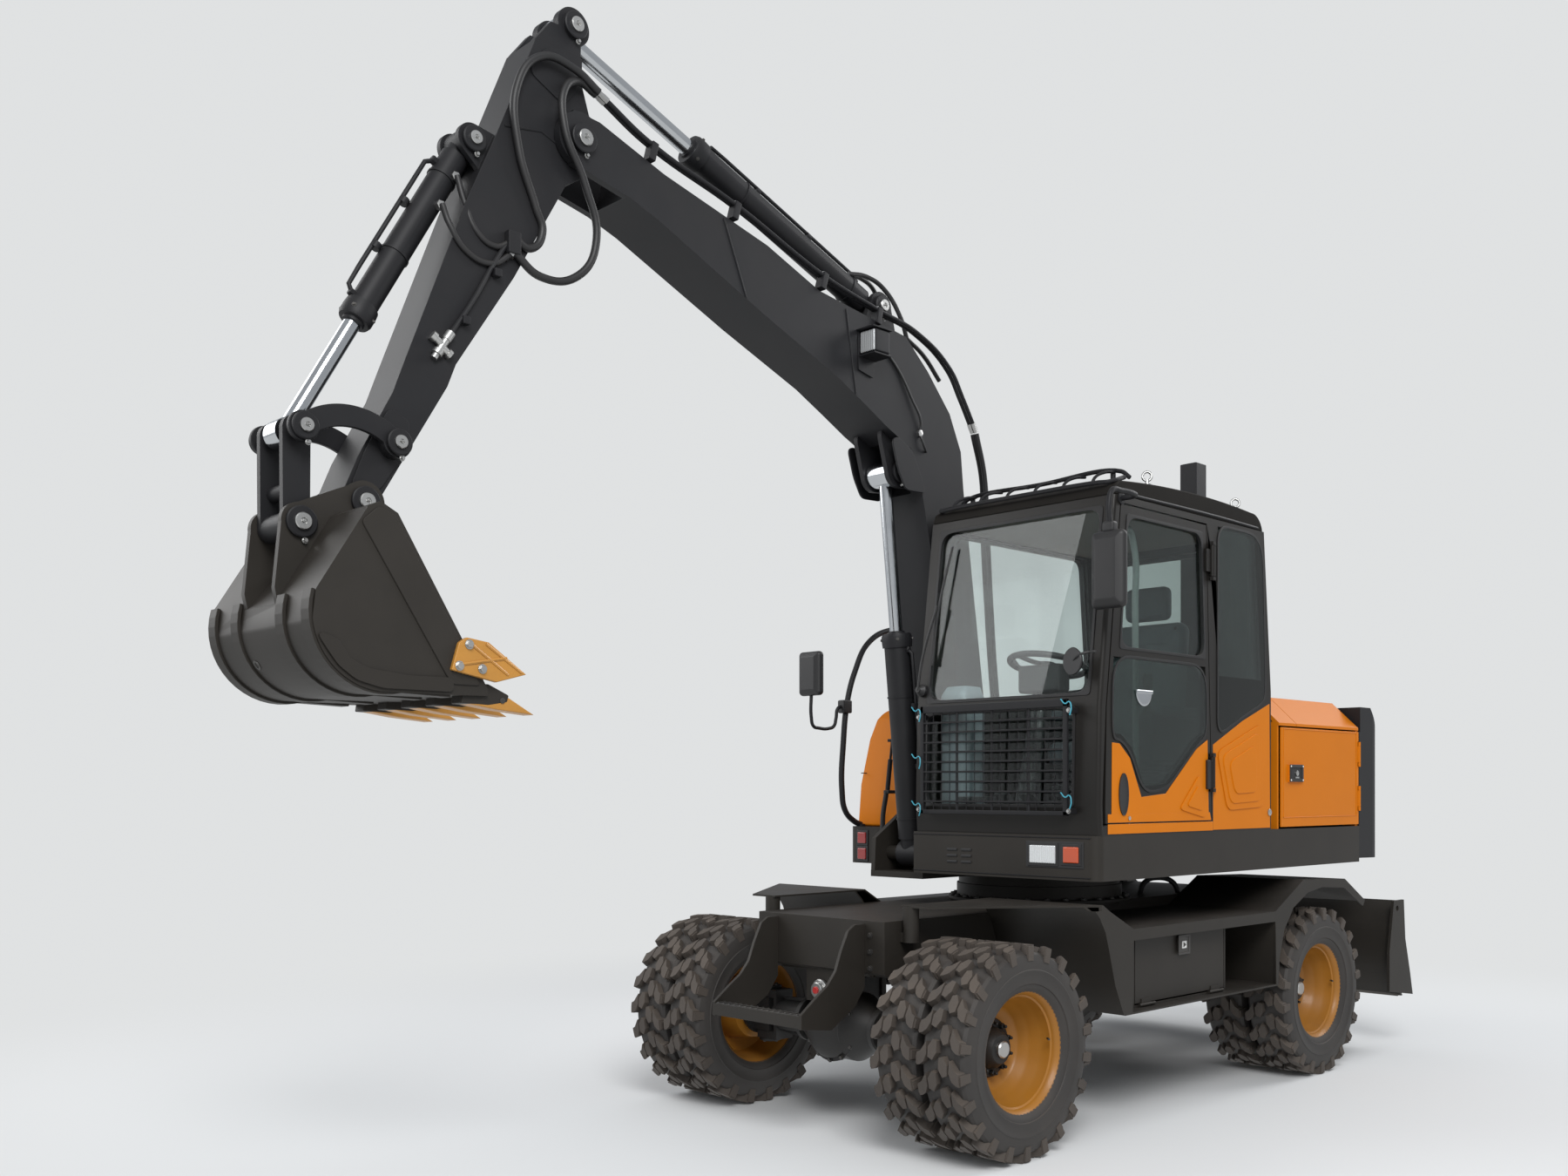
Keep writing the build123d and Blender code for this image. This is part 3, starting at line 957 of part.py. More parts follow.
with BuildPart() as bucket:
    with BuildSketch(side(GEAR_X + BUCKET_HALF)) as outline:
        with BuildLine():
            bucket_side()
        make_face()
    extrude(outline.sketch, amount=2 * BUCKET_HALF)
    with BuildSketch(side(GEAR_X + BUCKET_HALF - BUCKET_T)) as hollow:
        with BuildLine():
            bucket_side()
        make_face()
        offset(amount=-BUCKET_T, kind=Kind.INTERSECTION, mode=Mode.REPLACE)
        with BuildLine():
            Polyline((LIP[0] - 110, LIP[1] + BUCKET_T - 1), (FLOOR[0] + 40, FLOOR[1] + BUCKET_T),
                     (BROW[0] + 25, BROW[1] - BUCKET_T), (BROW[0] - 80, BROW[1] - BUCKET_T),
                     close=True)
        make_face()
    extrude(hollow.sketch, amount=2 * (BUCKET_HALF - BUCKET_T), mode=Mode.SUBTRACT)
    plate([*SADDLE, (3560, 2270), (3560, BROW[1] + 90), (3990, BROW[1] + 90), (3990, SADDLE[0][1])],
          GEAR_X + EAR_IN, GEAR_X - EAR_IN, Mode.SUBTRACT)
    plate([*SADDLE, (3633, 2247), (3807, 2186), (3893, 2068)], GEAR_X + EAR_IN, GEAR_X - EAR_IN)
    for span in mirrored_pair(EAR_IN, EAR_IN + EAR_T, GEAR_X):
        plate([(3560, 2440), (3600, 2190), (3820, 2180), (3915, 2070), (3924, 2080), (3935, 2130),
               (3912, 2360), (3860, 2418), (3640, 2520)], *span)
        bar(STICK_END, 72, *span)
        bar(BUCKET_KNEE, 66, *span)
    for span in mirrored_pair(EAR_IN, EAR_IN + EAR_T + 4, GEAR_X):
        bar(BUCKET_KNEE, SMALL_PIN_R + 8, *span)
    bar(STICK_END, PIN_R + PIN_FIT, GEAR_X + 300, GEAR_X - 300, Mode.SUBTRACT)
finish(bucket, "bucket")

# Teeth on the lip and cutters on the side plates.
TEETH = 5
with BuildPart() as bucket_teeth:
    for number in range(TEETH):
        x = GEAR_X - BUCKET_HALF + 50 + number * (2 * BUCKET_HALF - 100) / (TEETH - 1)
        plate([(3114, 1735), (3215, 1790), (LIP[0], LIP[1] + 26), LIP, along(LIP, FLOOR, 70),
               (3400, 1768), (3271, 1749)], x + 34, x - 34)
    for sign in (-1, 1):
        faces = sorted((GEAR_X + sign * BUCKET_HALF, GEAR_X + sign * (BUCKET_HALF + 20)))
        plate([(3432, 1967), (3403, 1986), (3318, 1975), (3169, 1873), (3288, 1840), (3460, 1873)],
              faces[1], faces[0])
finish(bucket_teeth, "bucket_teeth")
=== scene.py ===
import bpy, bmesh, json, math
from mathutils import Matrix, Vector
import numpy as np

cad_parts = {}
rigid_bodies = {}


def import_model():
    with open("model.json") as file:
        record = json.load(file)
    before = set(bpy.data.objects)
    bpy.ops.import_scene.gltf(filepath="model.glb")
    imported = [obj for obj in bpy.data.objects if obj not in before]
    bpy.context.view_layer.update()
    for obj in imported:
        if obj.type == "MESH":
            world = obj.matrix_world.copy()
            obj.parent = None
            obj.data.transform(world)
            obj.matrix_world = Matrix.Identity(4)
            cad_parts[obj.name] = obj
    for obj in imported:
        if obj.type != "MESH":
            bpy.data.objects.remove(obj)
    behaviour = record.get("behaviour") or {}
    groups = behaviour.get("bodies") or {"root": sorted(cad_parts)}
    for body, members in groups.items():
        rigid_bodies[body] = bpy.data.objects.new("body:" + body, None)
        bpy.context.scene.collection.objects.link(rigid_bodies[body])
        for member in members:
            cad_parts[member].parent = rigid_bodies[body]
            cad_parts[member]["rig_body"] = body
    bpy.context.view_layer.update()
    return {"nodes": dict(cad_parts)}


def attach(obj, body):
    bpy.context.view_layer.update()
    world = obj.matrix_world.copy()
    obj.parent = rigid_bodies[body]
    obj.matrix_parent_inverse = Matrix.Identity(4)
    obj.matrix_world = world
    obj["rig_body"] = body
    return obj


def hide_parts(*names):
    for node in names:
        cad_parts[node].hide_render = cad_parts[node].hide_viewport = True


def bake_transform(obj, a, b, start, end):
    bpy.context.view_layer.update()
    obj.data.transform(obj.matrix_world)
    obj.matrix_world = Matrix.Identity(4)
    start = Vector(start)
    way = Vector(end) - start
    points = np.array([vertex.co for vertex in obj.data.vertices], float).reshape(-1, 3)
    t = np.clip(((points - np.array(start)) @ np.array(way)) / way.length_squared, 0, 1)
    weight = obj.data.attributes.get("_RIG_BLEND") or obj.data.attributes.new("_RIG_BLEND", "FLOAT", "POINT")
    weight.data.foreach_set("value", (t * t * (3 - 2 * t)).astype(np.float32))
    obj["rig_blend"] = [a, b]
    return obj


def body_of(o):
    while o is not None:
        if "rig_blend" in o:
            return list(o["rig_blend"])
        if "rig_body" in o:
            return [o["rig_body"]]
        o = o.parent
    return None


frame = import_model()
nodes = frame["nodes"]


# ------------------------------------------------------------------ studio
# A pale seamless floor under the machine, three soft lamps above it and a pale world, with
# the camera at a walker's eye height off the front left corner of the machine.
BACKDROP = (0.745, 0.758, 0.763, 1)
LAMPS = (("key", (7.5, -7.0, 8.5), 5.0, 950), ("fill", (-7.0, -6.0, 6.0), 6.0, 330),
         ("back", (3.0, 8.5, 8.0), 5.0, 450))
LAMP_AIM = Vector((0, 0, 1.5))


def add(tree, kind, feeds=None, **traits):
    """New shader node; feeds gives each named input its value or the socket that drives it."""
    node = tree.nodes.new("ShaderNode" + kind)
    for trait, value in traits.items():
        setattr(node, trait, value)
    for entry, value in (feeds or {}).items():
        if isinstance(value, bpy.types.NodeSocket):
            tree.links.new(value, node.inputs[entry])
        else:
            node.inputs[entry].default_value = value
    return node


def greater(tree, a, b):
    """The greater of two shader values."""
    return add(tree, "Math", {0: a, 1: b}, operation="MAXIMUM").outputs[0]


bpy.ops.object.select_all(action="DESELECT")
bpy.ops.mesh.primitive_plane_add(size=160, location=(0, 0, 0))
floor = bpy.context.object
floor.name = "studio_floor"
floor_look = bpy.data.materials.new("studio_floor")
floor_look.use_nodes = True
tree = floor_look.node_tree
tree.nodes.clear()
path = add(tree, "LightPath")
seen = greater(tree, path.outputs["Is Glossy Ray"], path.outputs["Is Transmission Ray"])
where = add(tree, "TexCoord")
reach = add(tree, "VectorMath", {0: where.outputs["Object"]}, operation="LENGTH")
fade = add(tree, "MapRange", {"From Min": 2.4, "From Max": 6.8, "Value": reach.outputs["Value"]},
           interpolation_type="SMOOTHSTEP")
matt = add(tree, "BsdfDiffuse", {"Color": (0.74, 0.75, 0.755, 1)})
clear = add(tree, "Emission", {"Color": BACKDROP})
mix = add(tree, "MixShader", {"Fac": greater(tree, seen, fade.outputs["Result"]),
                              1: matt.outputs[0], 2: clear.outputs[0]})
add(tree, "OutputMaterial", {"Surface": mix.outputs[0]})
floor.data.materials.append(floor_look)

world = bpy.data.worlds.new("studio")
world.use_nodes = True
bpy.context.scene.world = world
tree = world.node_tree
tree.nodes.clear()
path = add(tree, "LightPath")
seen = greater(tree, path.outputs["Is Camera Ray"], path.outputs["Is Transmission Ray"])
light = add(tree, "Background", {"Color": (0.93, 0.96, 1.0, 1), "Strength": 0.5})
wall = add(tree, "Background", {"Color": BACKDROP})
mix = add(tree, "MixShader", {"Fac": seen, 1: light.outputs[0], 2: wall.outputs[0]})
add(tree, "OutputWorld", {"Surface": mix.outputs[0]})

for name, spot, size, power in LAMPS:
    lamp_data = bpy.data.lights.new(f"lamp_{name}", "AREA")
    lamp_data.size = size
    lamp_data.energy = power
    holder = bpy.data.objects.new(f"lamp_{name}", lamp_data)
    bpy.context.scene.collection.objects.link(holder)
    holder.location = spot
    holder.rotation_euler = (LAMP_AIM - Vector(spot)).to_track_quat("-Z", "Y").to_euler()

eye = bpy.data.cameras.new("camera")
eye.sensor_width = 36.0
eye.lens = 32.81
eye.shift_x = -0.0362
eye.shift_y = 0.1278
eye.clip_end = 200
camera = bpy.data.objects.new("camera", eye)
bpy.context.scene.collection.objects.link(camera)
camera.location = (4.458, -5.932, 1.471)
camera.rotation_euler = Vector((-0.7048, 0.7094, 0.0011)).to_track_quat("-Z", "Y").to_euler()
bpy.context.scene.camera = camera
bpy.context.scene.view_settings.view_transform = "Standard"


# ------------------------------------------------------------------ chassis
# Welded steel frame with fenders, steps and tool boxes, sprayed charcoal black, with its
# edges rounded; latches, grips and caps are bolted on.  Dust lies on what faces up.
DUST_SCALE = 4.0
PEEL_SCALE = 260.0
WAVE_SCALE = 5.0


def effect(name, outputs, inputs):
    """New shader group with named float inputs and outputs; returns it with its two ends."""
    group = bpy.data.node_groups.new(name, "ShaderNodeTree")
    for label, value in inputs:
        socket = group.interface.new_socket(label, in_out="INPUT", socket_type="NodeSocketFloat")
        socket.default_value = value
    for label in outputs:
        group.interface.new_socket(label, in_out="OUTPUT", socket_type="NodeSocketFloat")
    return group, group.nodes.new("NodeGroupInput"), group.nodes.new("NodeGroupOutput")


def noise_in(tree, scale, detail, rough):
    """Value of a noise texture laid over the piece."""
    where = add(tree, "TexCoord").outputs["Object"]
    return add(tree, "TexNoise", {"Vector": where, "Scale": scale, "Detail": detail,
                                  "Roughness": rough}).outputs["Fac"]


def remap(tree, source, low, high, to_low=0.0, to_high=1.0):
    """Clamped map of one value range to another."""
    return add(tree, "MapRange", {"Value": source, "From Min": low, "From Max": high,
                                  "To Min": to_low, "To Max": to_high}).outputs["Result"]


def times(tree, a, b):
    """Product of two shader values."""
    return add(tree, "Math", {0: a, 1: b}, operation="MULTIPLY").outputs[0]


dust_film, ends, exits = effect("dust_film", ["Mask"], [("Amount", 0.4), ("Scale", 3.0)])
facing = add(dust_film, "SeparateXYZ", {0: add(dust_film, "TexCoord").outputs["Normal"]})
level = remap(dust_film, facing.outputs["Z"], 0.25, 0.95, 0.18, 1.0)
patchy = remap(dust_film, noise_in(dust_film, ends.outputs["Scale"], 6, 0.62), 0.35, 0.72)
mask = times(dust_film, times(dust_film, level, patchy), ends.outputs["Amount"])
dust_film.links.new(mask, exits.inputs["Mask"])

sprayed, ends, exits = effect("sprayed_surface", ["Height", "Mottle"],
                              [("Peel", PEEL_SCALE), ("Wave", WAVE_SCALE)])
peel = times(sprayed, noise_in(sprayed, ends.outputs["Peel"], 2, 0.5), 0.35)
wave = noise_in(sprayed, ends.outputs["Wave"], 3, 0.5)
height = add(sprayed, "Math", {0: peel, 1: times(sprayed, wave, 2.2)}, operation="ADD")
sprayed.links.new(height.outputs[0], exits.inputs["Height"])
sprayed.links.new(wave, exits.inputs["Mottle"])


def new_look(name, **values):
    """New material with values for its shader's inputs; returns it, its tree and its shader."""
    look = bpy.data.materials.new(name)
    look.use_nodes = True
    shader = look.node_tree.nodes["Principled BSDF"]
    for label, value in values.items():
        shader.inputs[label.replace("_", " ")].default_value = value
    return look, look.node_tree, shader


def blended(tree, factor, a, b):
    """Colour between two colours, by a factor."""
    return add(tree, "Mix", {"Factor": factor, "A": a, "B": b}, data_type="RGBA").outputs["Result"]


def relief(tree, shader, height, strength, distance):
    """Bump of a shader's surface by a height value."""
    bump = add(tree, "Bump", {"Strength": strength, "Distance": distance, "Height": height})
    tree.links.new(bump.outputs["Normal"], shader.inputs["Normal"])


def paint(name, colour, rough=0.34, dust=0.4, dust_colour=(0.23, 0.19, 0.15), coat=0.25, bump=0.06,
          metal=0.0, mottle=0.18, shine=0.5):
    """Sprayed finish: mottled colour, orange peel, and a film of dust on level faces."""
    look, tree, shader = new_look(name, Metallic=metal, Specular_IOR_Level=shine,
                                  Coat_Weight=coat, Coat_Roughness=0.12)
    film = add(tree, "Group", node_tree=dust_film)
    film.inputs["Amount"].default_value = dust
    film.inputs["Scale"].default_value = DUST_SCALE
    coatwork = add(tree, "Group", node_tree=sprayed)
    coatwork.inputs["Peel"].default_value = PEEL_SCALE
    coatwork.inputs["Wave"].default_value = WAVE_SCALE
    tone = blended(tree, coatwork.outputs["Mottle"], (*[c * (1 - mottle) for c in colour], 1),
                   (*[min(1, c * (1 + mottle)) for c in colour], 1))
    dusty = blended(tree, film.outputs["Mask"], tone, (*dust_colour, 1))
    tree.links.new(dusty, shader.inputs["Base Color"])
    tree.links.new(remap(tree, film.outputs["Mask"], 0.0, 0.6, rough, 0.85),
                   shader.inputs["Roughness"])
    relief(tree, shader, coatwork.outputs["Height"], bump, 0.002)
    return look


def finish_node(look, *names):
    """Puts a finish on CAD nodes."""
    for node in names:
        mesh = nodes[node].data
        mesh.materials.clear()
        mesh.materials.append(look)


def softened(node, width, wide=None):
    """The CAD piece again, with its welded and folded edges rounded off, in its node's place.
    The edges that pass the wide test get a larger radius first."""
    bpy.ops.object.select_all(action="DESELECT")
    source = nodes[node]
    piece = source.copy()
    piece.data = source.data.copy()
    bpy.context.scene.collection.objects.link(piece)
    body = body_of(source)[0] if body_of(source) else source.parent.name
    piece.parent = None
    piece.matrix_world = Matrix.Identity(4)
    piece.name = f"{node}_rounded"
    bpy.context.view_layer.objects.active = piece
    piece.select_set(True)
    bpy.ops.object.mode_set(mode="EDIT")
    bpy.ops.mesh.select_all(action="SELECT")
    bpy.ops.mesh.remove_doubles(threshold=0.00002)
    bpy.ops.mesh.dissolve_limited(angle_limit=math.radians(0.5))
    if wide:
        test, radius = wide
        bpy.ops.mesh.select_mode(type="EDGE")
        bpy.ops.mesh.select_all(action="DESELECT")
        mesh = bmesh.from_edit_mesh(piece.data)
        for edge in mesh.edges:
            edge.select = test(edge.verts[0].co, edge.verts[1].co)
        bmesh.update_edit_mesh(piece.data)
        bpy.ops.mesh.bevel(offset=radius, segments=6, affect="EDGES", clamp_overlap=True)
        bpy.ops.mesh.select_all(action="SELECT")
    bpy.ops.object.mode_set(mode="OBJECT")
    round_off = piece.modifiers.new("round_off", "BEVEL")
    round_off.width = width
    round_off.segments = 2
    round_off.limit_method = "ANGLE"
    round_off.angle_limit = math.radians(28)
    round_off.miter_outer = "MITER_ARC"
    bpy.ops.object.modifier_apply(modifier="round_off")
    bpy.ops.object.shade_smooth_by_angle(angle=math.radians(40))
    flat = piece.modifiers.new("flat", "WEIGHTED_NORMAL")
    flat.keep_sharp = True
    flat.weight = 100
    bpy.ops.object.modifier_apply(modifier="flat")
    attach(piece, body)
    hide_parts(node)


def shape(piece, mode="FACE"):
    """Opens a piece for modelling, with nothing selected."""
    bpy.ops.object.select_all(action="DESELECT")
    piece.select_set(True)
    bpy.context.view_layer.objects.active = piece
    bpy.ops.object.mode_set(mode="EDIT")
    bpy.ops.mesh.select_mode(type=mode)
    bpy.ops.mesh.select_all(action="DESELECT")


def pick(piece, test):
    """Selects the open piece's faces that pass a test."""
    mesh = bmesh.from_edit_mesh(piece.data)
    for face in mesh.faces:
        face.select = test(face)
    bmesh.update_edit_mesh(piece.data)


def done(piece, edge=0.0, segments=2):
    """Rounds all edges if asked, closes the normals and leaves edit mode."""
    if bpy.context.mode != "EDIT_MESH":
        shape(piece)
    bpy.ops.mesh.select_all(action="SELECT")
    if edge:
        bpy.ops.mesh.bevel(offset=edge, segments=segments, affect="EDGES", clamp_overlap=True)
        bpy.ops.mesh.select_all(action="SELECT")
    bpy.ops.mesh.normals_make_consistent(inside=False)
    bpy.ops.object.mode_set(mode="OBJECT")
    return piece


def dish(piece, test, border, push):
    """Sinks or swells the faces that pass a test, inside a border."""
    shape(piece)
    pick(piece, test)
    bpy.ops.mesh.inset(thickness=border)
    bpy.ops.transform.translate(value=push)
    return done(piece)


def cut_plate(corners, push, edge=0.0, segments=2):
    """Flat piece: a filled ring of corners, pushed to its thickness."""
    bpy.ops.object.select_all(action="DESELECT")
    bpy.ops.mesh.primitive_circle_add(vertices=len(corners), fill_type="NGON", location=(0, 0, 0))
    piece = bpy.context.object
    for corner, place in zip(piece.data.vertices, corners):
        corner.co = place
    shape(piece)
    bpy.ops.mesh.select_all(action="SELECT")
    bpy.ops.mesh.extrude_region_move(TRANSFORM_OT_translate={"value": push})
    return done(piece, edge, segments)


def block(low, high, edge=0.003, segments=2):
    """Block between two corners, with its edges rounded."""
    bpy.ops.object.select_all(action="DESELECT")
    low, high = Vector(low), Vector(high)
    bpy.ops.mesh.primitive_cube_add(size=1, location=(low + high) / 2)
    piece = bpy.context.object
    piece.scale = high - low
    bpy.ops.object.transform_apply(location=True, rotation=True, scale=True)
    return done(piece, edge, segments)


def facing_block(face, side, thick, low, high, edge=0.003, segments=2):
    """Block that stands out from an upright side face; low and high are its (y, z) corners."""
    near, far = sorted((face, face + side * thick))
    return block((near, *low), (far, *high), edge, segments)


def turned(at, way, steps, sides=32, ring=False):
    """Turned piece: a disc pushed and widened along its axis by (distance, radius) steps.
    A ring has no end discs: its two ends are bridged through its bore."""
    bpy.ops.object.select_all(action="DESELECT")
    along, wide = steps[0]
    bpy.ops.mesh.primitive_circle_add(vertices=sides, radius=wide, fill_type="NGON",
                                      location=(0, 0, along))
    piece = bpy.context.object
    bpy.ops.object.transform_apply(location=True, rotation=True, scale=True)
    shape(piece)
    bpy.ops.mesh.select_all(action="SELECT")
    for distance, radius in steps[1:]:
        bpy.ops.mesh.extrude_region_move(TRANSFORM_OT_translate={"value": (0, 0, distance - along)})
        size = radius / wide
        bpy.ops.transform.resize(value=(size, size, 1), center_override=(0, 0, distance))
        along, wide = distance, radius
    if ring:
        pick(piece, lambda face: len(face.verts) > 4)
        bpy.ops.mesh.delete(type="ONLY_FACE")
        bpy.ops.mesh.select_mode(type="EDGE")
        bpy.ops.mesh.select_all(action="DESELECT")
        bpy.ops.mesh.select_non_manifold()
        bpy.ops.mesh.bridge_edge_loops()
        bpy.ops.mesh.select_mode(type="FACE")
    done(piece)
    piece.rotation_mode = "QUATERNION"
    piece.rotation_quaternion = Vector((0, 0, 1)).rotation_difference(Vector(way))
    piece.location = at
    bpy.ops.object.transform_apply(location=True, rotation=True, scale=True)
    return piece


def twin(piece, shift=(0, 0, 0), turn=None):
    """A copy with its own mesh, shifted or turned (axis, angle, centre)."""
    bpy.ops.object.select_all(action="DESELECT")
    copy = piece.copy()
    copy.data = piece.data.copy()
    bpy.context.scene.collection.objects.link(copy)
    copy.select_set(True)
    bpy.context.view_layer.objects.active = copy
    if turn:
        axis, angle, centre = turn
        copy.data.transform(Matrix.Translation(centre) @ Matrix.Rotation(angle, 4, axis)
                            @ Matrix.Translation(-Vector(centre)))
    copy.location = shift
    return copy


def joined(pieces):
    """Several pieces made one."""
    bpy.ops.object.select_all(action="DESELECT")
    for piece in pieces:
        piece.select_set(True)
    bpy.context.view_layer.objects.active = pieces[0]
    if len(pieces) > 1:
        bpy.ops.object.join()
    return bpy.context.view_layer.objects.active


def fitted(pieces, name, look, body, slot=None, crease=35):
    """Joins pieces, names them, gives them a finish and hangs them on a body."""
    piece = joined(pieces if isinstance(pieces, list) else [pieces])
    piece.name = name
    piece.data.materials.clear()
    piece.data.materials.append(look)
    bpy.ops.object.shade_smooth_by_angle(angle=math.radians(crease))
    flat = piece.modifiers.new("flat", "WEIGHTED_NORMAL")
    flat.keep_sharp = True
    bpy.ops.object.modifier_apply(modifier="flat")
    if body:
        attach(piece, body)
    return piece


def bolt(at, way, size=0.011, tall=0.009):
    """Hexagon head on a washer."""
    head = turned(at, way, [(0.003, size), (tall, size), (tall + 0.002, size * 0.86)], 6)
    washer = turned(at, way, [(0, size * 1.35), (0.0032, size * 1.35)], 16)
    return joined([head, washer])


def around(piece, count, axis, centre):
    """A ring of copies of a piece, itself included, joined."""
    ring = [piece]
    for step in range(1, count):
        ring.append(twin(piece, turn=(axis, math.tau * step / count, centre)))
    return joined(ring)


frame_paint = paint("frame_paint", (0.0240, 0.0210, 0.0175), 0.50, 0.16, (0.12, 0.10, 0.085),
                    coat=0.0, shine=0.28)
steel = paint("bright_steel", (0.52, 0.52, 0.51), 0.34, 0.25, (0.2, 0.17, 0.14), 0.0, 0.1, 1.0,
              0.25)
dark_bolt = paint("blackened_bolts", (0.07, 0.068, 0.066), 0.45, 0.35, coat=0.0, metal=0.6)
white_mark = paint("white_plastic", (0.72, 0.72, 0.70), 0.4, 0.05, coat=0.2)
red_plug = paint("red_plastic", (0.42, 0.02, 0.018), 0.4, 0.1, coat=0.2)

for node, width in (("chassis_frame", 0.004), ("front_step", 0.003), ("fender_step_left", 0.0015),
                    ("fender_step_right", 0.0015), ("toolbox_door_left", 0.003),
                    ("toolbox_door_right", 0.003)):
    finish_node(frame_paint, node)
    softened(node, width)

# flange of the slew ring with its bolts
flange = turned((0, 0, 0.920), (0, 0, 1), [(0, 0.462), (0.012, 0.462), (0.015, 0.458),
                                           (0.015, 0.42)], 96)
fitted(flange, "slew_ring_flange", frame_paint, "undercarriage", "black_paint")
fitted(around(bolt((0.442, 0, 0.935), (0, 0, 1), 0.012), 30, "Z", (0, 0, 0)), "slew_ring_bolts",
       dark_bolt, "undercarriage")

# pivot pin of the front axle seen in the nose plate, with its red plug
PIVOT_Z = 0.600
boss = turned((0, -1.566, PIVOT_Z), (0, -1, 0), [(0, 0.046), (0.012, 0.046), (0.016, 0.041),
                                               (0.016, 0.034), (0.030, 0.034), (0.033, 0.030)])
fitted(boss, "axle_pivot_cap", steel, "undercarriage")
plug = turned((0, -1.598, PIVOT_Z), (0, -1, 0), [(0, 0.016), (0.006, 0.016), (0.009, 0.012)])
fitted(plug, "axle_pivot_plug", red_plug, "undercarriage")

# bolts of the step plates on the nose, and the tread strip on the step's bar
rows = []
for x in (-0.31, 0.31):
    for z in (0.72, 0.79, 0.86):
        rows.append(bolt((x, -1.58, z), (0, -1, 0), 0.010))
fitted(rows, "nose_bolts", dark_bolt, "undercarriage")
grips = [block((-0.258, -1.948, 0.553), (0.258, -1.902, 0.556), 0.001)]
for number in range(15):
    x = -0.245 + number * 0.035
    grips.append(block((x - 0.004, -1.947, 0.555), (x + 0.004, -1.903, 0.560), 0.001, 1))
fitted(grips, "step_grip", dark_bolt, "undercarriage")

# latches of the tool box lids: black square body, white key plate with a dark arrow
LID_FACE = 0.947
LATCH_PROUD, KEY_PROUD = 0.004, 0.005
for side, end in ((1, "left"), (-1, "right")):
    face = side * LID_FACE
    lid = f"toolbox_door_{end}"
    body = facing_block(face, side, LATCH_PROUD, (-0.210, 0.716), (-0.110, 0.806))
    dish(body, lambda f: f.normal.x * side > 0.9, 0.010, (-side * 0.003, 0, 0))
    fitted(body, f"toolbox_latch_{end}", dark_bolt, lid, "dark_plastic")
    key = facing_block(face, side, KEY_PROUD, (-0.180, 0.744), (-0.142, 0.778))
    proud = face + side * KEY_PROUD
    arrow = cut_plate([(proud, -0.172, 0.750), (proud, -0.150, 0.761), (proud, -0.172, 0.772)],
                      (side * 0.002, 0, 0))
    fitted(key, f"toolbox_key_plate_{end}", white_mark, lid)
    fitted(arrow, f"toolbox_key_mark_{end}", dark_bolt, lid)


# ------------------------------------------------------------------ axles
# Cast housings with a bolted differential cover, ribs on the beams and forged tie rod ends;
# all of it is painted black and dulled by oil and road dirt.
FRONT_AXLE_Y, REAR_AXLE_Y = -1.408, 1.088
AXLE_Z = 0.430
KINGPIN_X = 0.5
TIE_Y, TIE_Z = -1.188, 0.325
WHEELS = (("front_left", 1, FRONT_AXLE_Y), ("front_right", -1, FRONT_AXLE_Y),
          ("rear_left", 1, REAR_AXLE_Y), ("rear_right", -1, REAR_AXLE_Y))

axle_paint = paint("axle_paint", (0.010, 0.0095, 0.009), 0.55, 0.35, (0.09, 0.07, 0.055), 0.0, 0.35)
finish_node(axle_paint, "front_axle", "rear_axle", "transmission", "knuckle_left", "knuckle_right",
            "tie_rod")
covers, studs = [], []
for axle_y, nose in ((FRONT_AXLE_Y, -1), (REAR_AXLE_Y, 1)):
    covers.append(turned((0, axle_y, AXLE_Z), (0, nose, 0),
                         [(0.06, 0.140), (0.120, 0.132), (0.135, 0.118), (0.150, 0.090),
                          (0.156, 0.040)], 40))
    covers.append(turned((0, axle_y, AXLE_Z), (0, nose, 0), [(0.088, 0.150), (0.102, 0.150)], 40))
    ring = bolt((0.143, axle_y + nose * 0.102, AXLE_Z), (0, nose, 0), 0.009)
    studs.append(around(ring, 12, "Y", (0, axle_y, AXLE_Z)))
    for side in (-1, 1):
        for lift in (-1, 1):
            rib = [(side * 0.20, axle_y - 0.007, AXLE_Z + lift * 0.076),
                   (side * 0.40, axle_y - 0.007, AXLE_Z + lift * 0.069),
                   (side * 0.40, axle_y - 0.007, AXLE_Z + lift * 0.080),
                   (side * 0.20, axle_y - 0.007, AXLE_Z + lift * 0.100)]
            covers.append(cut_plate(rib, (0, 0.014, 0), 0.002))
        covers.append(turned((side * 0.215, axle_y, AXLE_Z), (side, 0, 0),
                             [(0, 0.098), (0.022, 0.098), (0.028, 0.090), (0.028, 0.072)], 40))
fitted(covers, "axle_castings", axle_paint, "undercarriage", "axle_paint", 30)
fitted(studs, "differential_bolts", dark_bolt, "undercarriage")

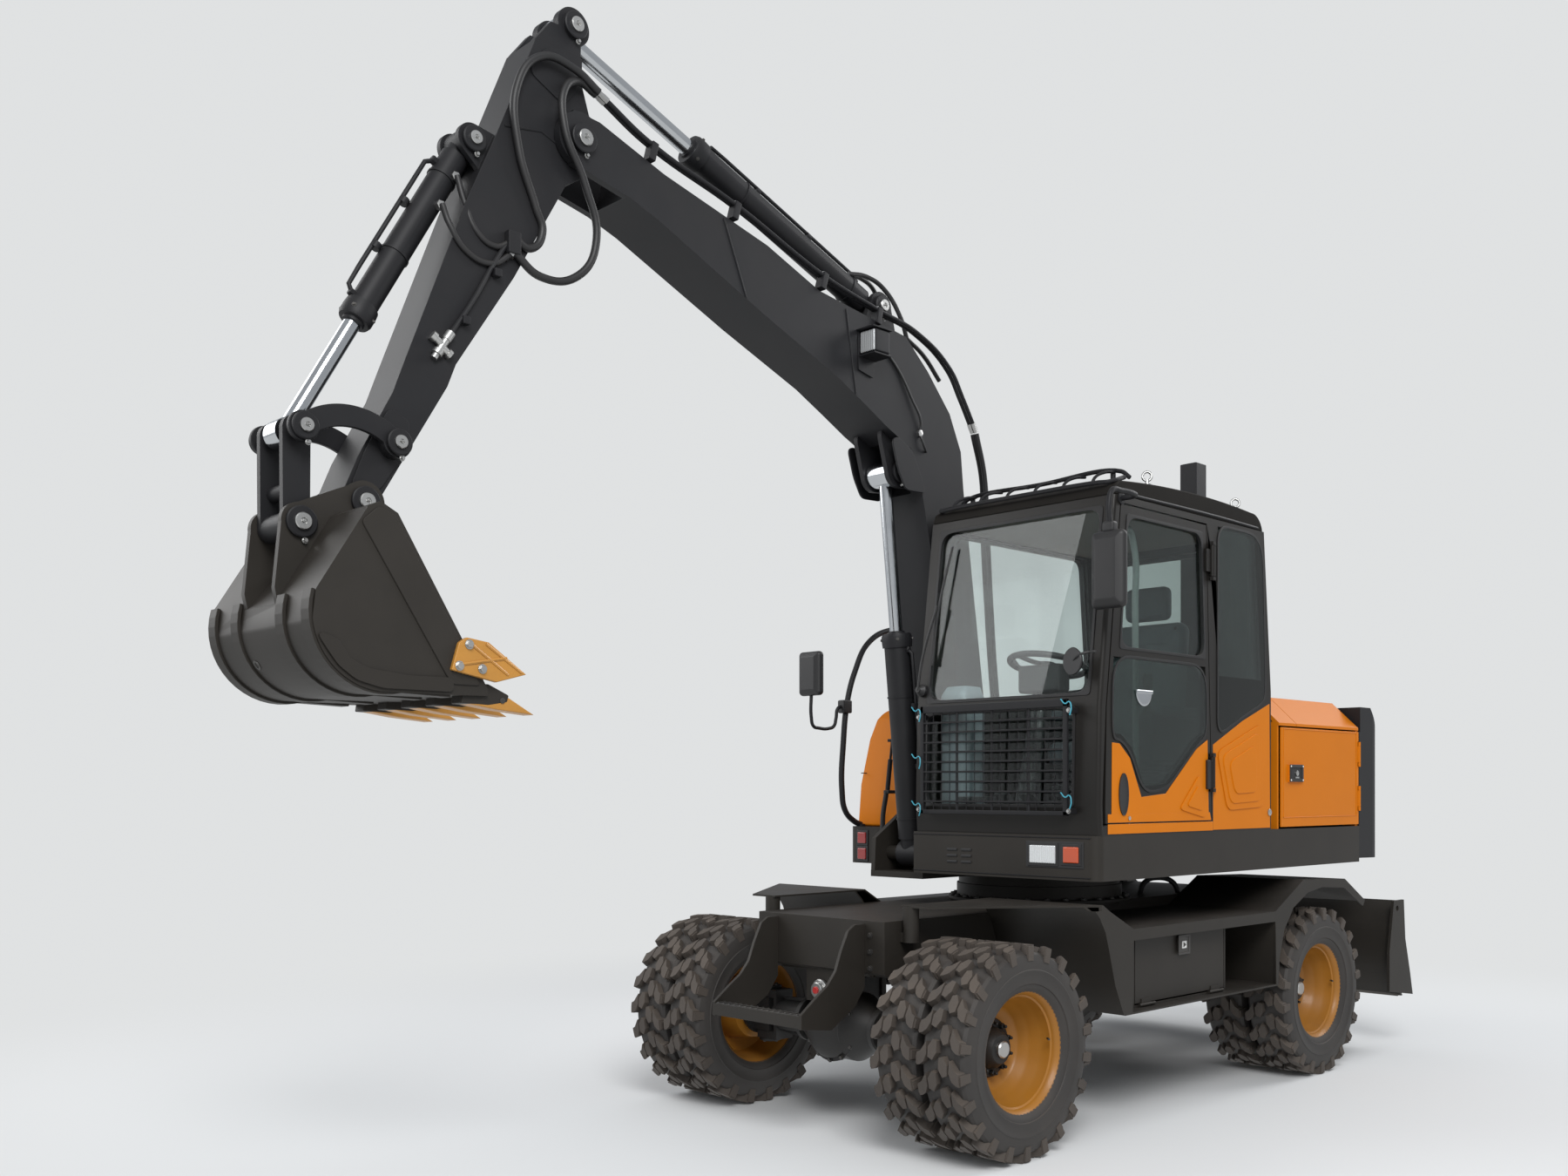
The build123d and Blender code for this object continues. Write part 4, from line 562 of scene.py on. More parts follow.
for side, end in ((1, "left"), (-1, "right")):
    spot = (side * KINGPIN_X, FRONT_AXLE_Y)
    caps = [turned((*spot, AXLE_Z + up * 0.116), (0, 0, up),
                   [(0, 0.052), (0.010, 0.052), (0.014, 0.044), (0.014, 0.02)]) for up in (1, -1)]
    fitted(caps, f"kingpin_caps_{end}", axle_paint, "undercarriage", "axle_paint")
    heads = [around(bolt((spot[0] + 0.038, spot[1], z), (0, 0, up), 0.007, 0.006), 4, "Z",
                    (*spot, 0)) for z, up in ((0.556, 1), (0.304, -1))]
    fitted(heads, f"kingpin_bolts_{end}", dark_bolt, "undercarriage")
    flange = turned((side * 0.562, FRONT_AXLE_Y, AXLE_Z), (side, 0, 0),
                    [(0, 0.104), (0.014, 0.104), (0.018, 0.098), (0.018, 0.09)], 48)
    fitted(flange, f"brake_flange_{end}", axle_paint, f"knuckle_{end}", "axle_paint")
    ball = turned((side * KINGPIN_X, TIE_Y, 0.379), (0, 0, 1),
                  [(0, 0.020), (0.006, 0.022), (0.010, 0.014), (0.018, 0.013), (0.020, 0.008)], 6)
    fitted(ball, f"steering_ball_nut_{end}", steel, f"knuckle_{end}")
boots = [turned((side * KINGPIN_X, TIE_Y, 0.348), (0, 0, 1),
                [(-0.004, 0.020), (0.004, 0.025), (0.010, 0.018)], 24) for side in (-1, 1)]
boots += [turned((side * 0.43, TIE_Y, TIE_Z), (side, 0, 0),
                 [(-0.03, 0.019), (0.02, 0.019), (0.024, 0.016)], 6) for side in (-1, 1)]
fitted(boots, "tie_rod_ends", axle_paint, "tie_rod", "axle_paint")
joints = []
for y, way in ((-1.178, 1), (-0.330, -1), (0.120, 1), (0.858, -1)):
    joints.append(turned((0, y, AXLE_Z), (0, way, 0), [(0, 0.056), (0.012, 0.056), (0.018, 0.046),
                                                       (0.07, 0.044), (0.085, 0.034)], 28))
    joints.append(around(bolt((0.044, y + way * 0.018, AXLE_Z), (0, way, 0), 0.006, 0.006), 6, "Y",
                         (0, y, AXLE_Z)))
fitted(joints, "drive_shaft_joints", axle_paint, "undercarriage", "axle_paint")


# ------------------------------------------------------------------ twin tyres
# Black rubber tyres, two to a wheel, with a block tread: kite-shaped pads along the middle
# and slanted lugs out to the shoulder, each ending in a stub down the sidewall.
TYRE_R = AXLE_Z
TREAD_BASE = 0.404
PITCHES = 22
OUTER_X, INNER_X = 0.902, 0.657
LUG_STRETCH = 1.28
# each lug: its (along, across) corners, the radius of its foot and of its top
LUGS = (
    ([(-0.026, 0.006), (0.012, 0.003), (0.038, 0.024), (0.030, 0.050), (-0.004, 0.052),
      (-0.030, 0.030)], 0.398, 0.4300),
    ([(-0.022, 0.058), (0.020, 0.053), (0.046, 0.068), (0.058, 0.090), (0.060, 0.106),
      (0.018, 0.106), (0.010, 0.086)], 0.392, 0.4295),
    ([(0.020, 0.094), (0.058, 0.094), (0.054, 0.1125), (0.024, 0.1125)], 0.366, 0.4240),
)
# half of the tyre's section from bead to tread, as (across, radius)
SIDEWALL = [(0.083, 0.241), (0.092, 0.252), (0.100, 0.264), (0.1015, 0.272), (0.1065, 0.275),
            (0.1075, 0.282), (0.1065, 0.286), (0.1095, 0.300), (0.1115, 0.322), (0.1135, 0.325),
            (0.1140, 0.330), (0.1120, 0.333), (0.1120, 0.350), (0.1090, 0.372), (0.1030, 0.390),
            (0.0900, 0.400), (0.0500, TREAD_BASE)]

rubber = paint("tyre_sidewall", (0.032, 0.029, 0.027), 0.62, 0.45, (0.11, 0.085, 0.065), 0.0, 0.12,
               mottle=0.3)
tread_rubber = paint("tyre_tread", (0.062, 0.051, 0.043), 0.72, 0.6, (0.15, 0.115, 0.085), 0.0,
                     0.25, mottle=0.35)


def bent_lug(corners, foot, top):
    """One lug cut flat from (along, across) points, narrowed at its top and bent round."""
    flat = [(along, TYRE_R - foot, across) for along, across in corners]
    piece = cut_plate(flat, (0, foot - top, 0))
    shape(piece)
    pick(piece, lambda face: face.normal.y < -0.9)
    bpy.ops.transform.resize(value=(0.90, 1, 0.90))
    bpy.ops.mesh.select_all(action="SELECT")
    bpy.ops.mesh.subdivide(number_cuts=1)
    done(piece)
    spots = [v.co.x for v in piece.data.vertices]
    bend = piece.modifiers.new("bend", "SIMPLE_DEFORM")
    bend.deform_method = "BEND"
    bend.deform_axis = "Z"
    bend.angle = (max(spots) - min(spots)) / TYRE_R
    bpy.ops.object.modifier_apply(modifier="bend")
    return piece


lugs = []
step = math.tau * TYRE_R / PITCHES
for across, start in ((1, 0.0), (-1, step / 2)):
    for corners, foot, top in LUGS:
        placed = [(along * LUG_STRETCH + start - 0.020, side * across) for along, side in corners]
        lugs.append(bent_lug(placed, foot, top))
pitch = joined(lugs)
# the bent strip has its centre one radius off the lugs' foot line; stand it on the wheel's axis
pitch.location = (0, -TYRE_R, 0)
bpy.ops.object.transform_apply(location=True, rotation=True, scale=True)
tread = around(pitch, PITCHES, "Z", (0, 0, 0))
tread.data.materials.clear()
tread.data.materials.append(tread_rubber)

section = [(-across, radius) for across, radius in SIDEWALL] + SIDEWALL[::-1]
carcass = turned((0, 0, 0), (0, 0, 1), section, 72, ring=True)
carcass.data.materials.clear()
carcass.data.materials.append(rubber)
tyre = joined([carcass, tread])
tyre.rotation_mode = "XYZ"
bpy.ops.object.shade_smooth_by_angle(angle=math.radians(30))
tyre.rotation_euler = (0, math.radians(90), 0)
bpy.ops.object.transform_apply(location=True, rotation=True, scale=True)

for end, side, axle_y in WHEELS:
    pair = joined([twin(tyre, (side * x, axle_y, TYRE_R), turn=("X", angle, (0, 0, 0)))
                   for x, angle in ((OUTER_X, 0.05), (INNER_X, 0.17))])
    pair.name = f"treaded_tyres_{end}"
    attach(pair, f"wheel_{end}")
    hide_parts(f"tyres_{end}")
bpy.data.objects.remove(tyre)


# ------------------------------------------------------------------ rims and hubs
# Welded steel rims in gold paint: rolled flange, stepped well and a disc, bolted to a black
# cast hub with a ring of wheel nuts on studs and a bright cap in the middle.
# section of a pair's rim from the hub's inner side to the outer dish, as (outwards, radius)
RIM = [
    (0.606, 0.112), (0.606, 0.128), (0.735, 0.150), (0.715, 0.205), (0.600, 0.222), (0.585, 0.238),
    (0.572, 0.243), (0.572, 0.254), (0.584, 0.254), (0.590, 0.240), (0.700, 0.236), (0.860, 0.236),
    (0.968, 0.240), (0.974, 0.254), (0.988, 0.255), (0.990, 0.250), (0.986, 0.242), (0.972, 0.234),
    (0.966, 0.228), (0.955, 0.226), (0.950, 0.219), (0.915, 0.216), (0.905, 0.208), (0.868, 0.200),
    (0.856, 0.190), (0.822, 0.176), (0.808, 0.164), (0.800, 0.140), (0.798, 0.118)]
HUB = [(0.790, 0.121), (0.812, 0.121), (0.816, 0.117), (0.820, 0.086), (0.842, 0.080),
       (0.866, 0.064), (0.872, 0.058), (0.874, 0.040)]
NUTS, NUT_RING_R = 10, 0.101

rim_paint = paint("rim_paint", (0.35, 0.145, 0.016), 0.42, 0.25, (0.18, 0.11, 0.07), 0.08, 0.08,
                  shine=0.4)
for end, side, axle_y in WHEELS:
    centre, way = (0, axle_y, AXLE_Z), (side, 0, 0)
    rim = fitted(turned(centre, way, RIM, 72), f"rim_{end}", rim_paint, f"wheel_{end}", "rim_paint",
                 40)
    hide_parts(f"rims_{end}")
    hub = turned(centre, way, HUB, 40)
    nut_at = (0, axle_y, AXLE_Z + NUT_RING_R)
    nut = turned(nut_at, way, [(0.812, 0.016), (0.818, 0.016), (0.818, 0.0125), (0.836, 0.0125),
                               (0.838, 0.010)], 6)
    stud = turned(nut_at, way, [(0.830, 0.0065), (0.850, 0.0065), (0.852, 0.005)], 12)
    hub_nuts = around(joined([nut, stud]), NUTS, "X", centre)
    fitted([hub, hub_nuts], f"hub_{end}", axle_paint, f"wheel_{end}", "axle_paint")
    cap = turned(centre, way, [(0.868, 0.036), (0.884, 0.035), (0.889, 0.030), (0.889, 0.012)], 32)
    fitted(cap, f"hub_cap_{end}", steel, f"wheel_{end}")
    valve = turned((side * 0.955, axle_y + 0.195, TYRE_R + 0.03), (side * 0.8, -0.6, 0),
                   [(0, 0.005), (0.022, 0.005), (0.024, 0.004)], 10)
    fitted(valve, f"valve_{end}", dark_bolt, f"wheel_{end}")


# ------------------------------------------------------------------ dozer blade
# Rolled steel blade on two arms, with a bolted wear edge along its foot; it turns on two
# greased pins, and rubber hoses lead to the cylinders that lift it.
black_paint = paint("charcoal_paint", (0.0125, 0.0127, 0.0145), 0.50, 0.07, coat=0.0, shine=0.26)
rubber_hose = paint("hose_rubber", (0.010, 0.010, 0.011), 0.5, 0.1, coat=0.0, bump=0.15)
worn_steel = paint("worn_edge_steel", (0.18, 0.17, 0.16), 0.45, 0.5, (0.16, 0.12, 0.09), 0.0, 0.3,
                   0.9, 0.3)


def hose(points, radius, sides=3, bend="AUTO"):
    """Hose or pipe laid through its points."""
    bpy.ops.object.select_all(action="DESELECT")
    bpy.ops.curve.primitive_bezier_curve_add(location=(0, 0, 0))
    piece = bpy.context.object
    run = piece.data.splines[0]
    run.bezier_points.add(len(points) - 2)
    for knot, place in zip(run.bezier_points, points):
        knot.co = place
        knot.handle_left_type = knot.handle_right_type = bend
    piece.data.bevel_depth = radius
    piece.data.bevel_resolution = sides
    piece.data.resolution_u = 10
    piece.data.use_fill_caps = True
    bpy.ops.object.convert(target="MESH")
    return done(bpy.context.object)


def pin_end(x, forward, z, side, radius):
    """Bright end of a pivot pin in its black collar, with the keeper bolt and grease nipple."""
    at, way = (x, -forward, z), (side, 0, 0)
    collar = turned(at, way, [(0, radius + 0.016), (0.009, radius + 0.016), (0.012, radius + 0.012),
                              (0.012, radius * 0.80)], 32)
    bright = turned(at, way, [(0.004, radius * 0.78), (0.020, radius * 0.78),
                              (0.023, radius * 0.70), (0.023, radius * 0.30),
                              (0.019, radius * 0.26)], 28)
    keeper = bolt((x + side * 0.001, -forward + radius * 0.3, z - radius - 0.024), way, 0.0075,
                  0.012)
    nipple = turned((x + side * 0.022, -forward, z), way, [(0, 0.005), (0.004, 0.005),
                                                           (0.006, 0.003), (0.011, 0.0035)], 6)
    return collar, [bright, keeper, nipple]


def fit_pins(name, body, ends):
    """Pin ends one body carries; rows give middle, offset, forward, height and radius."""
    collars, brights = [], []
    for middle, off, forward, z, radius in ends:
        for side in (-1, 1):
            collar, bright = pin_end(middle + side * off, forward, z, side, radius)
            collars.append(collar)
            brights += bright
    fitted(collars, f"{name}_collars", black_paint, body, "black_paint")
    fitted(brights, f"{name}_ends", steel, body)


finish_node(frame_paint, "dozer_blade")
softened("dozer_blade", 0.003)
EDGE_Y = 2.082
edge = block((-0.969, EDGE_Y, 0.296), (0.969, 2.094, 0.372))
fitted(edge, "blade_wear_edge", worn_steel, "blade")
row = [bolt((-0.88 + number * 0.22, EDGE_Y, 0.338), (0, -1, 0), 0.011, 0.010)
       for number in range(9)]
fitted(row, "blade_edge_bolts", dark_bolt, "blade")
for x in (-0.45, 0.0, 0.45):
    rib = cut_plate([(x - 0.006, y, z) for y, z in ((2.010, 0.50), (2.012, 0.66), (2.032, 0.76),
                                                    (1.965, 0.60), (1.965, 0.50))],
                    (0.012, 0, 0), 0.002)
    fitted(rib, f"blade_rib_{int(x * 100 + 45)}", frame_paint, "blade", "black_paint")
fit_pins("blade_pivot_pins", "undercarriage", [(0.0, 0.356, -1.400, 0.585, 0.034)])
fit_pins("blade_rod_pins", "blade", [(x, 0.049, -1.925, 0.668, 0.022) for x in (0.190, -0.190)])
lines = []
for x in (-0.19, 0.19):
    lines.append(hose([(x, 1.56, 0.866), (x * 0.8, 1.50, 0.93), (x * 0.5, 1.44, 0.90),
                       (x * 0.4, 1.38, 0.80)], 0.009))
    lines.append(turned((x, 1.565, 0.858), (0, -0.2, 1), [(-0.02, 0.014), (0.008, 0.014),
                                                          (0.010, 0.011)], 6))
fitted(lines, "blade_hoses", rubber_hose, "undercarriage")
loop = hose([(0.19, 0.640, 0.915), (0.21, 0.655, 0.975), (0.26, 0.715, 1.000), (0.31, 0.775, 0.975),
             (0.33, 0.800, 0.915)], 0.014)
fitted(loop, "brake_hose", rubber_hose, "undercarriage")


# ------------------------------------------------------------------ hydraulic cylinders
# Painted barrels with a screwed gland at the rod end and a steel feed pipe along the tube;
# the rods are hard chrome, ground bright.
chrome, tree, shader = new_look("rod_chrome", Base_Color=(0.55, 0.57, 0.59, 1), Metallic=1.0)
smear = noise_in(tree, 6.0, 5, 0.6)
tree.links.new(remap(tree, smear, 0.3, 0.7, 0.10, 0.24), shader.inputs["Roughness"])
finish_node(chrome, "boom_cylinder_rod", "arm_cylinder_rod", "bucket_cylinder_rod",
            "blade_cylinder_rods")
finish_node(black_paint, "boom_cylinder_barrel", "arm_cylinder_barrel", "bucket_cylinder_barrel",
            "blade_cylinder_barrels")

BOOM_X = -0.250
BARRELS = (
    # body, base (forward, z), rod eye (forward, z), gland reach, tube and rod radius, pipe side
    ("boom_barrel", (0.690, 1.160), (0.894, 2.991), 1.066, 0.064, 0.0315, (1, 0)),
    ("arm_barrel", (1.000, 3.760), (2.746, 4.419), 1.171, 0.059, 0.035, (0, 1)),
    ("bucket_barrel", (3.177, 3.848), (3.848, 2.666), 0.845, 0.050, 0.030, (0, 1)),
)
for body, base, eye_at, reach, tube, rod_r, lean in BARRELS:
    start = Vector((BOOM_X, -base[0], base[1]))
    way = (Vector((BOOM_X, -eye_at[0], eye_at[1])) - start).normalized()
    gland = turned(start, way, [(reach - 0.055, tube + 0.008), (reach - 0.030, tube + 0.010),
                                (reach - 0.002, tube + 0.010), (reach + 0.012, tube + 0.004),
                                (reach + 0.014, rod_r + 0.010), (reach + 0.024, rod_r + 0.008),
                                (reach + 0.024, rod_r + 0.0006)], 40)
    screws = []
    for turn in range(4):
        side_way = way.orthogonal().normalized()
        side_way.rotate(Matrix.Rotation(math.tau * turn / 4, 3, way))
        screws.append(bolt(start + way * (reach - 0.016) + side_way * (tube + 0.008), side_way,
                           0.006, 0.006))
    seams = [turned(start, way, [(s, tube + 0.0005), (s, tube + 0.004), (s + 0.008, tube + 0.004),
                                 (s + 0.008, tube + 0.0005)], 40) for s in (0.17, reach - 0.30)]
    fitted([gland] + seams, f"{body}_gland", black_paint, body, "black_paint")
    fitted(screws, f"{body}_gland_screws", dark_bolt, body)
    across = way.cross(Vector((1, 0, 0)))
    up = Vector((lean[0], 0, 0)) + lean[1] * across * (-1 if across.z < 0 else 1)
    near, far_end = start + way * 0.135, start + way * (reach - 0.09)
    pipe = [near + up * (tube + 0.006), near + up * (tube + 0.030) + way * 0.03,
            near + up * (tube + 0.030) + way * 0.12, far_end + up * (tube + 0.030) - way * 0.08,
            far_end + up * (tube + 0.028), far_end + up * (tube + 0.004) + way * 0.02]
    ports = [turned(near, up, [(tube - 0.01, 0.018), (tube + 0.014, 0.018), (tube + 0.018, 0.014)],
                    6), turned(far_end + way * 0.02, up, [(tube - 0.01, 0.016),
                                                          (tube + 0.012, 0.016),
                                                          (tube + 0.016, 0.012)], 6)]
    clips = []
    for share in (0.35, 0.7):
        spot = near.lerp(far_end, share) + up * (tube + 0.018)
        clips.append(turned(spot - way * 0.012, way, [(0, 0.018), (0.024, 0.018)], 12))
    fitted([hose(pipe, 0.0085, 3, "VECTOR")] + ports + clips, f"{body}_feed_pipe", black_paint,
           body, "black_paint")


# ------------------------------------------------------------------ upper deck
# Welded steel deck with a folded skirt, painted charcoal; the lamps, vents and pins of the
# boom bracket are parts of their own, bolted on.
finish_node(frame_paint, "upper_frame")
softened("upper_frame", 0.004)
lens, tree, shader = new_look("lamp_lens", Base_Color=(0.80, 0.82, 0.83, 1), Metallic=0.65,
                              Coat_Weight=1.0)
where = add(tree, "TexCoord").outputs["Object"]
ribs = add(tree, "TexWave", {"Vector": where, "Scale": 30.0, "Distortion": 0.0}).outputs["Fac"]
tree.links.new(remap(tree, ribs, 0, 1, 0.06, 0.30), shader.inputs["Roughness"])
relief(tree, shader, ribs, 0.4, 0.004)
amber = paint("amber_lens", (0.50, 0.06, 0.008), 0.16, 0.0, coat=1.0, bump=0.02)
red_lens = paint("red_lens", (0.30, 0.010, 0.008), 0.18, 0.0, coat=1.0, bump=0.02)
plastic = paint("dark_plastic", (0.014, 0.014, 0.015), 0.5, 0.08, coat=0.0, bump=0.2)


def lamp(name, y, low, high, look, front=-1):
    """Lamp in the deck's front or rear face: dark bezel with a proud lens; corners are (x, z)."""
    for part, border, proud, edge, segments, finish, slot in (
            ("bezel", 0.012, 0.006, 0.003, 2, plastic, "dark_plastic"),
            ("lens", 0.0, 0.012, 0.005, 3, look, None)):
        near, far = sorted((y, y + front * proud))
        piece = block((low[0] - border, near, low[1] - border),
                      (high[0] + border, far, high[1] + border), edge, segments)
        fitted(piece, f"{name}_{part}", finish, "upper", slot)


fitted(block((0.588, -0.877, 1.132), (0.896, -0.871, 1.248), 0.004), "lamp_housing", plastic,
       "upper", "dark_plastic")
LEFT_FRONT, RIGHT_FRONT, REAR = -0.874, -0.410, 1.912
lamp("headlamp_left", LEFT_FRONT, (0.612, 1.150), (0.752, 1.230), lens)
lamp("indicator_left", LEFT_FRONT, (0.792, 1.156), (0.872, 1.226), amber)
lamp("headlamp_right", RIGHT_FRONT, (-0.700, 1.150), (-0.570, 1.230), lens)
lamp("indicator_right", RIGHT_FRONT, (-0.892, 1.100), (-0.832, 1.160), red_lens)
lamp("indicator_right_top", RIGHT_FRONT, (-0.892, 1.185), (-0.832, 1.245), red_lens)
for x, end in ((-0.70, "right"), (0.70, "left")):
    lamp(f"tail_lamp_{end}", REAR, (x - 0.05, 1.22), (x + 0.05, 1.26), red_lens, 1)
vents = []
for column in range(2):
    for line in range(3):
        x, z = 0.13 + column * 0.085, 1.135 + line * 0.028
        vents.append(block((x, -0.878, z), (x + 0.060, -0.872, z + 0.012), 0.0025))
fitted(vents, "deck_vent_slots", plastic, "upper", "dark_plastic")
folds = [block((-0.08, -0.8775, z), (0.93, -0.872, z + 0.004), 0.001, 1) for z in (1.092, 1.262)]
fitted(folds, "deck_front_folds", black_paint, "upper", "black_paint")
fit_pins("bracket_pins", "upper", [(BOOM_X, 0.179, 0.330, 1.400, 0.045),
                                   (BOOM_X, 0.179, 0.690, 1.160, 0.035)])


# ------------------------------------------------------------------ engine housing
# Orange sheet steel doors, hood and side box with recessed latches and seams, closed at the
# rear by the cast counterweight.
orange_paint = paint("orange_paint", (0.60, 0.172, 0.006), 0.36, 0.02, (0.35, 0.25, 0.15), 0.02,
                     0.04, mottle=0.04, shine=0.08)
cast_iron = paint("cast_iron", (0.035, 0.034, 0.033), 0.60, 0.30, (0.12, 0.10, 0.08), 0.0, 0.40)
finish_node(cast_iron, "engine_block")
for node, look, width in (("service_door_left", orange_paint, 0.004),
                          ("right_box", orange_paint, 0.024),
                          ("service_door_right", orange_paint, 0.004),
                          ("engine_hood", orange_paint, 0.004),
                          ("engine_bulkhead", orange_paint, 0.003),
                          ("counterweight", black_paint, 0.030),
                          ("exhaust_stack", black_paint, 0.004)):
    finish_node(look, node)
    softened(node, width)

DOOR_FACE = 0.976
FOLD_FACE, FOLD_PROUD, FOLD = 0.965, 0.0035, 0.004
LOW_Z, HIGH_Z, FRONT_Y, REAR_Y = 1.330, 1.778, 0.745, 1.565
for side, end in ((1, "left"), (-1, "right")):
    face, way = side * DOOR_FACE, (side, 0, 0)
    door = f"service_door_{end}"
    latch = facing_block(face, side, 0.004, (0.792, 1.512), (0.936, 1.600))
    dish(latch, lambda f: f.normal.x * side > 0.9, 0.016, (-side * 0.003, 0, 0))
    fitted(latch, f"service_latch_{end}", plastic, door, "dark_plastic")
    inner = face + side * 0.001
    keyhole = turned((inner, 0.864, 1.556), way, [(0, 0.014), (0.006, 0.014), (0.007, 0.012),
                                                  (0.007, 0.005), (0.004, 0.004)], 24)
    tab = facing_block(inner, side, 0.005, (0.845, 1.530), (0.883, 1.538), 0.001)
    fitted([keyhole, tab], f"service_lock_{end}", steel, door)
    screws = [turned((face + side * 0.004, y, z), way, [(0, 0.005), (0.002, 0.0048),
                                                        (0.003, 0.003)],
                     12) for y in (0.801, 0.927) for z in (1.521, 1.591)]
    fitted(screws, f"service_latch_screws_{end}", white_mark, door)
    folds = [facing_block(side * FOLD_FACE, side, FOLD_PROUD, low, high, 0.001, 1)
             for low, high in (((FRONT_Y, HIGH_Z), (REAR_Y, HIGH_Z + FOLD)),
                               ((FRONT_Y, LOW_Z), (REAR_Y, LOW_Z + FOLD)),
                               ((FRONT_Y, LOW_Z), (FRONT_Y + FOLD, HIGH_Z)),
                               ((REAR_Y - FOLD, LOW_Z), (REAR_Y, HIGH_Z)))]
    fitted(folds, f"service_door_folds_{end}", orange_paint, door, "orange_paint")
louvres = []
for number in range(12):
    z = 1.40 + number * 0.026
    louvres.append(cut_plate([(-0.966, 1.05, z), (-0.966, 1.05, z + 0.014),
                              (-0.976, 1.05, z + 0.004)], (0, 0.36, 0), 0.0008, 1))
fitted(louvres, "radiator_louvres", orange_paint, "service_door_right", "orange_paint")
grip = block((-0.13, 1.500, 1.950), (0.13, 1.530, 1.962))
dish(grip, lambda f: f.normal.z > 0.9 and f.calc_area() > 0.001, 0.008, (0, 0, -0.008))
fitted(grip, "hood_grip", plastic, "engine_hood", "dark_plastic")
ribs = [block((x - 0.014, 0.96, 1.949), (x + 0.014, 1.46, 1.955), 0.0025)
        for x in (-0.56, -0.28, 0.28, 0.56)]
fitted(ribs, "hood_ribs", orange_paint, "engine_hood", "orange_paint")

# exhaust: hollow square mouth and foot bolts, with the bolts of the counterweight
mouth = block((0.378, 0.758, 3.198), (0.462, 0.842, 3.2065), 0.001)
shape(mouth)
pick(mouth, lambda f: f.normal.z > 0.9)
bpy.ops.mesh.inset(thickness=0.004)
bpy.ops.mesh.extrude_region_move(TRANSFORM_OT_translate={"value": (0, 0, -0.006)})
soot = paint("exhaust_soot", (0.006, 0.0055, 0.005), 0.9, 0.0, coat=0.0)
fitted(done(mouth), "exhaust_mouth", soot, "upper")
foot = [bolt((0.42 + dx, 0.80 + dy, 1.974), (0, 0, 1), 0.008)
        for dx in (-0.060, 0.060) for dy in (-0.060, 0.060)]
foot += [bolt((x, y, 1.924), (0, 0, 1), 0.014, 0.012)
         for x in (-0.55, 0.55) for y in (1.66, 1.70)]
fitted(foot, "exhaust_and_weight_bolts", dark_bolt, "upper")

# counterweight: parting groove above the deck, lifting eyes and a towing pin
TOW_AT = (0, 1.905, 1.16)
groove = turned(TOW_AT, (0, 1, 0), [(0, 0.055), (0.010, 0.055), (0.013, 0.050), (0.013, 0.034),
                                    (0.002, 0.030)], 40)
pin = turned(TOW_AT, (0, 1, 0), [(0, 0.019), (0.022, 0.019), (0.025, 0.015)], 24)
fitted(groove, "towing_socket", black_paint, "upper", "black_paint")
fitted(pin, "towing_pin", steel, "upper")


def hoop_eye(at, spin=0.0):
    """Closed eye of a lifting bolt, bent from round bar."""
    bpy.ops.object.select_all(action="DESELECT")
    bpy.ops.mesh.primitive_torus_add(location=at, rotation=(math.radians(90), 0, spin),
                                     major_radius=0.020, minor_radius=0.006, major_segments=28,
                                     minor_segments=10)
    bpy.ops.object.transform_apply(location=True, rotation=True, scale=True)
    return bpy.context.object


eyes = []
for x in (-0.62, 0.62):
    eyes.append(turned((x, 1.70, 1.924), (0, 0, 1), [(0, 0.020), (0.010, 0.020), (0.012, 0.012),
                                                     (0.020, 0.010)], 20))
    eyes.append(hoop_eye((x, 1.70, 1.935)))
fitted(eyes, "counterweight_eyes", steel, "upper")

# side box: lid seam, the gas strut in front of it and the hose to the strut's foot
seam = block((-0.9245, -0.36, 1.56), (-0.9195, 0.28, 1.565), 0.001, 1)
fitted(seam, "side_box_seam", plastic, "upper", "dark_plastic")
strut = [turned((-0.632, -0.462, 1.470), (0.07, 0.06, 1), [(0, 0.0125), (0.16, 0.0125),
                                                           (0.163, 0.009), (0.163, 0.0065),
                                                           (0.268, 0.0065)], 20),
         block((-0.640, -0.455, 1.722), (-0.590, -0.360, 1.738), 0.003),
         block((-0.650, -0.475, 1.452), (-0.614, -0.400, 1.470), 0.003)]
fitted(strut, "side_box_strut", black_paint, "upper", "black_paint")
strut_pipe = hose([(-0.560, -0.395, 1.120), (-0.590, -0.450, 1.085), (-0.625, -0.480, 1.140),
                   (-0.648, -0.482, 1.300), (-0.636, -0.466, 1.462)], 0.0135)
fitted(strut_pipe, "side_box_hose", rubber_hose, "upper")


# ------------------------------------------------------------------ cab
# Welded tube frame with a pressed roof and a hinged door, both in black, over orange sheet
# steel panels; the panes are glued or set in rubber seals.
cab_paint = paint("cab_paint", (0.0120, 0.0108, 0.0095), 0.42, 0.05, coat=0.03, shine=0.26)
roof_paint = paint("roof_paint", (0.0120, 0.0108, 0.0095), 0.78, 0.10, (0.12, 0.10, 0.085),
                   coat=0.0, shine=0.12)
seal_rubber = paint("seal_rubber", (0.007, 0.007, 0.008), 0.55, 0.12, coat=0.0, bump=0.1)


CAB_SIDE = 0.9655


def front_pillar(a, b):
    """True for the long edge of the left front pillar, from its two ends."""
    return min(a.x, b.x) > CAB_SIDE and max(a.y, b.y) < -0.742 and abs(a.z - b.z) > 0.05


for node, look, width, wide in (("cab_frame", cab_paint, 0.006, (front_pillar, 0.026)),
                                ("cab_roof", roof_paint, 0.022, None),
                                ("cab_door", cab_paint, 0.004, None),
                                ("cab_door_panel", orange_paint, 0.002, None),
                                ("cab_side_panel", orange_paint, 0.002, None)):
    finish_node(look, node)
    softened(node, width, wide)


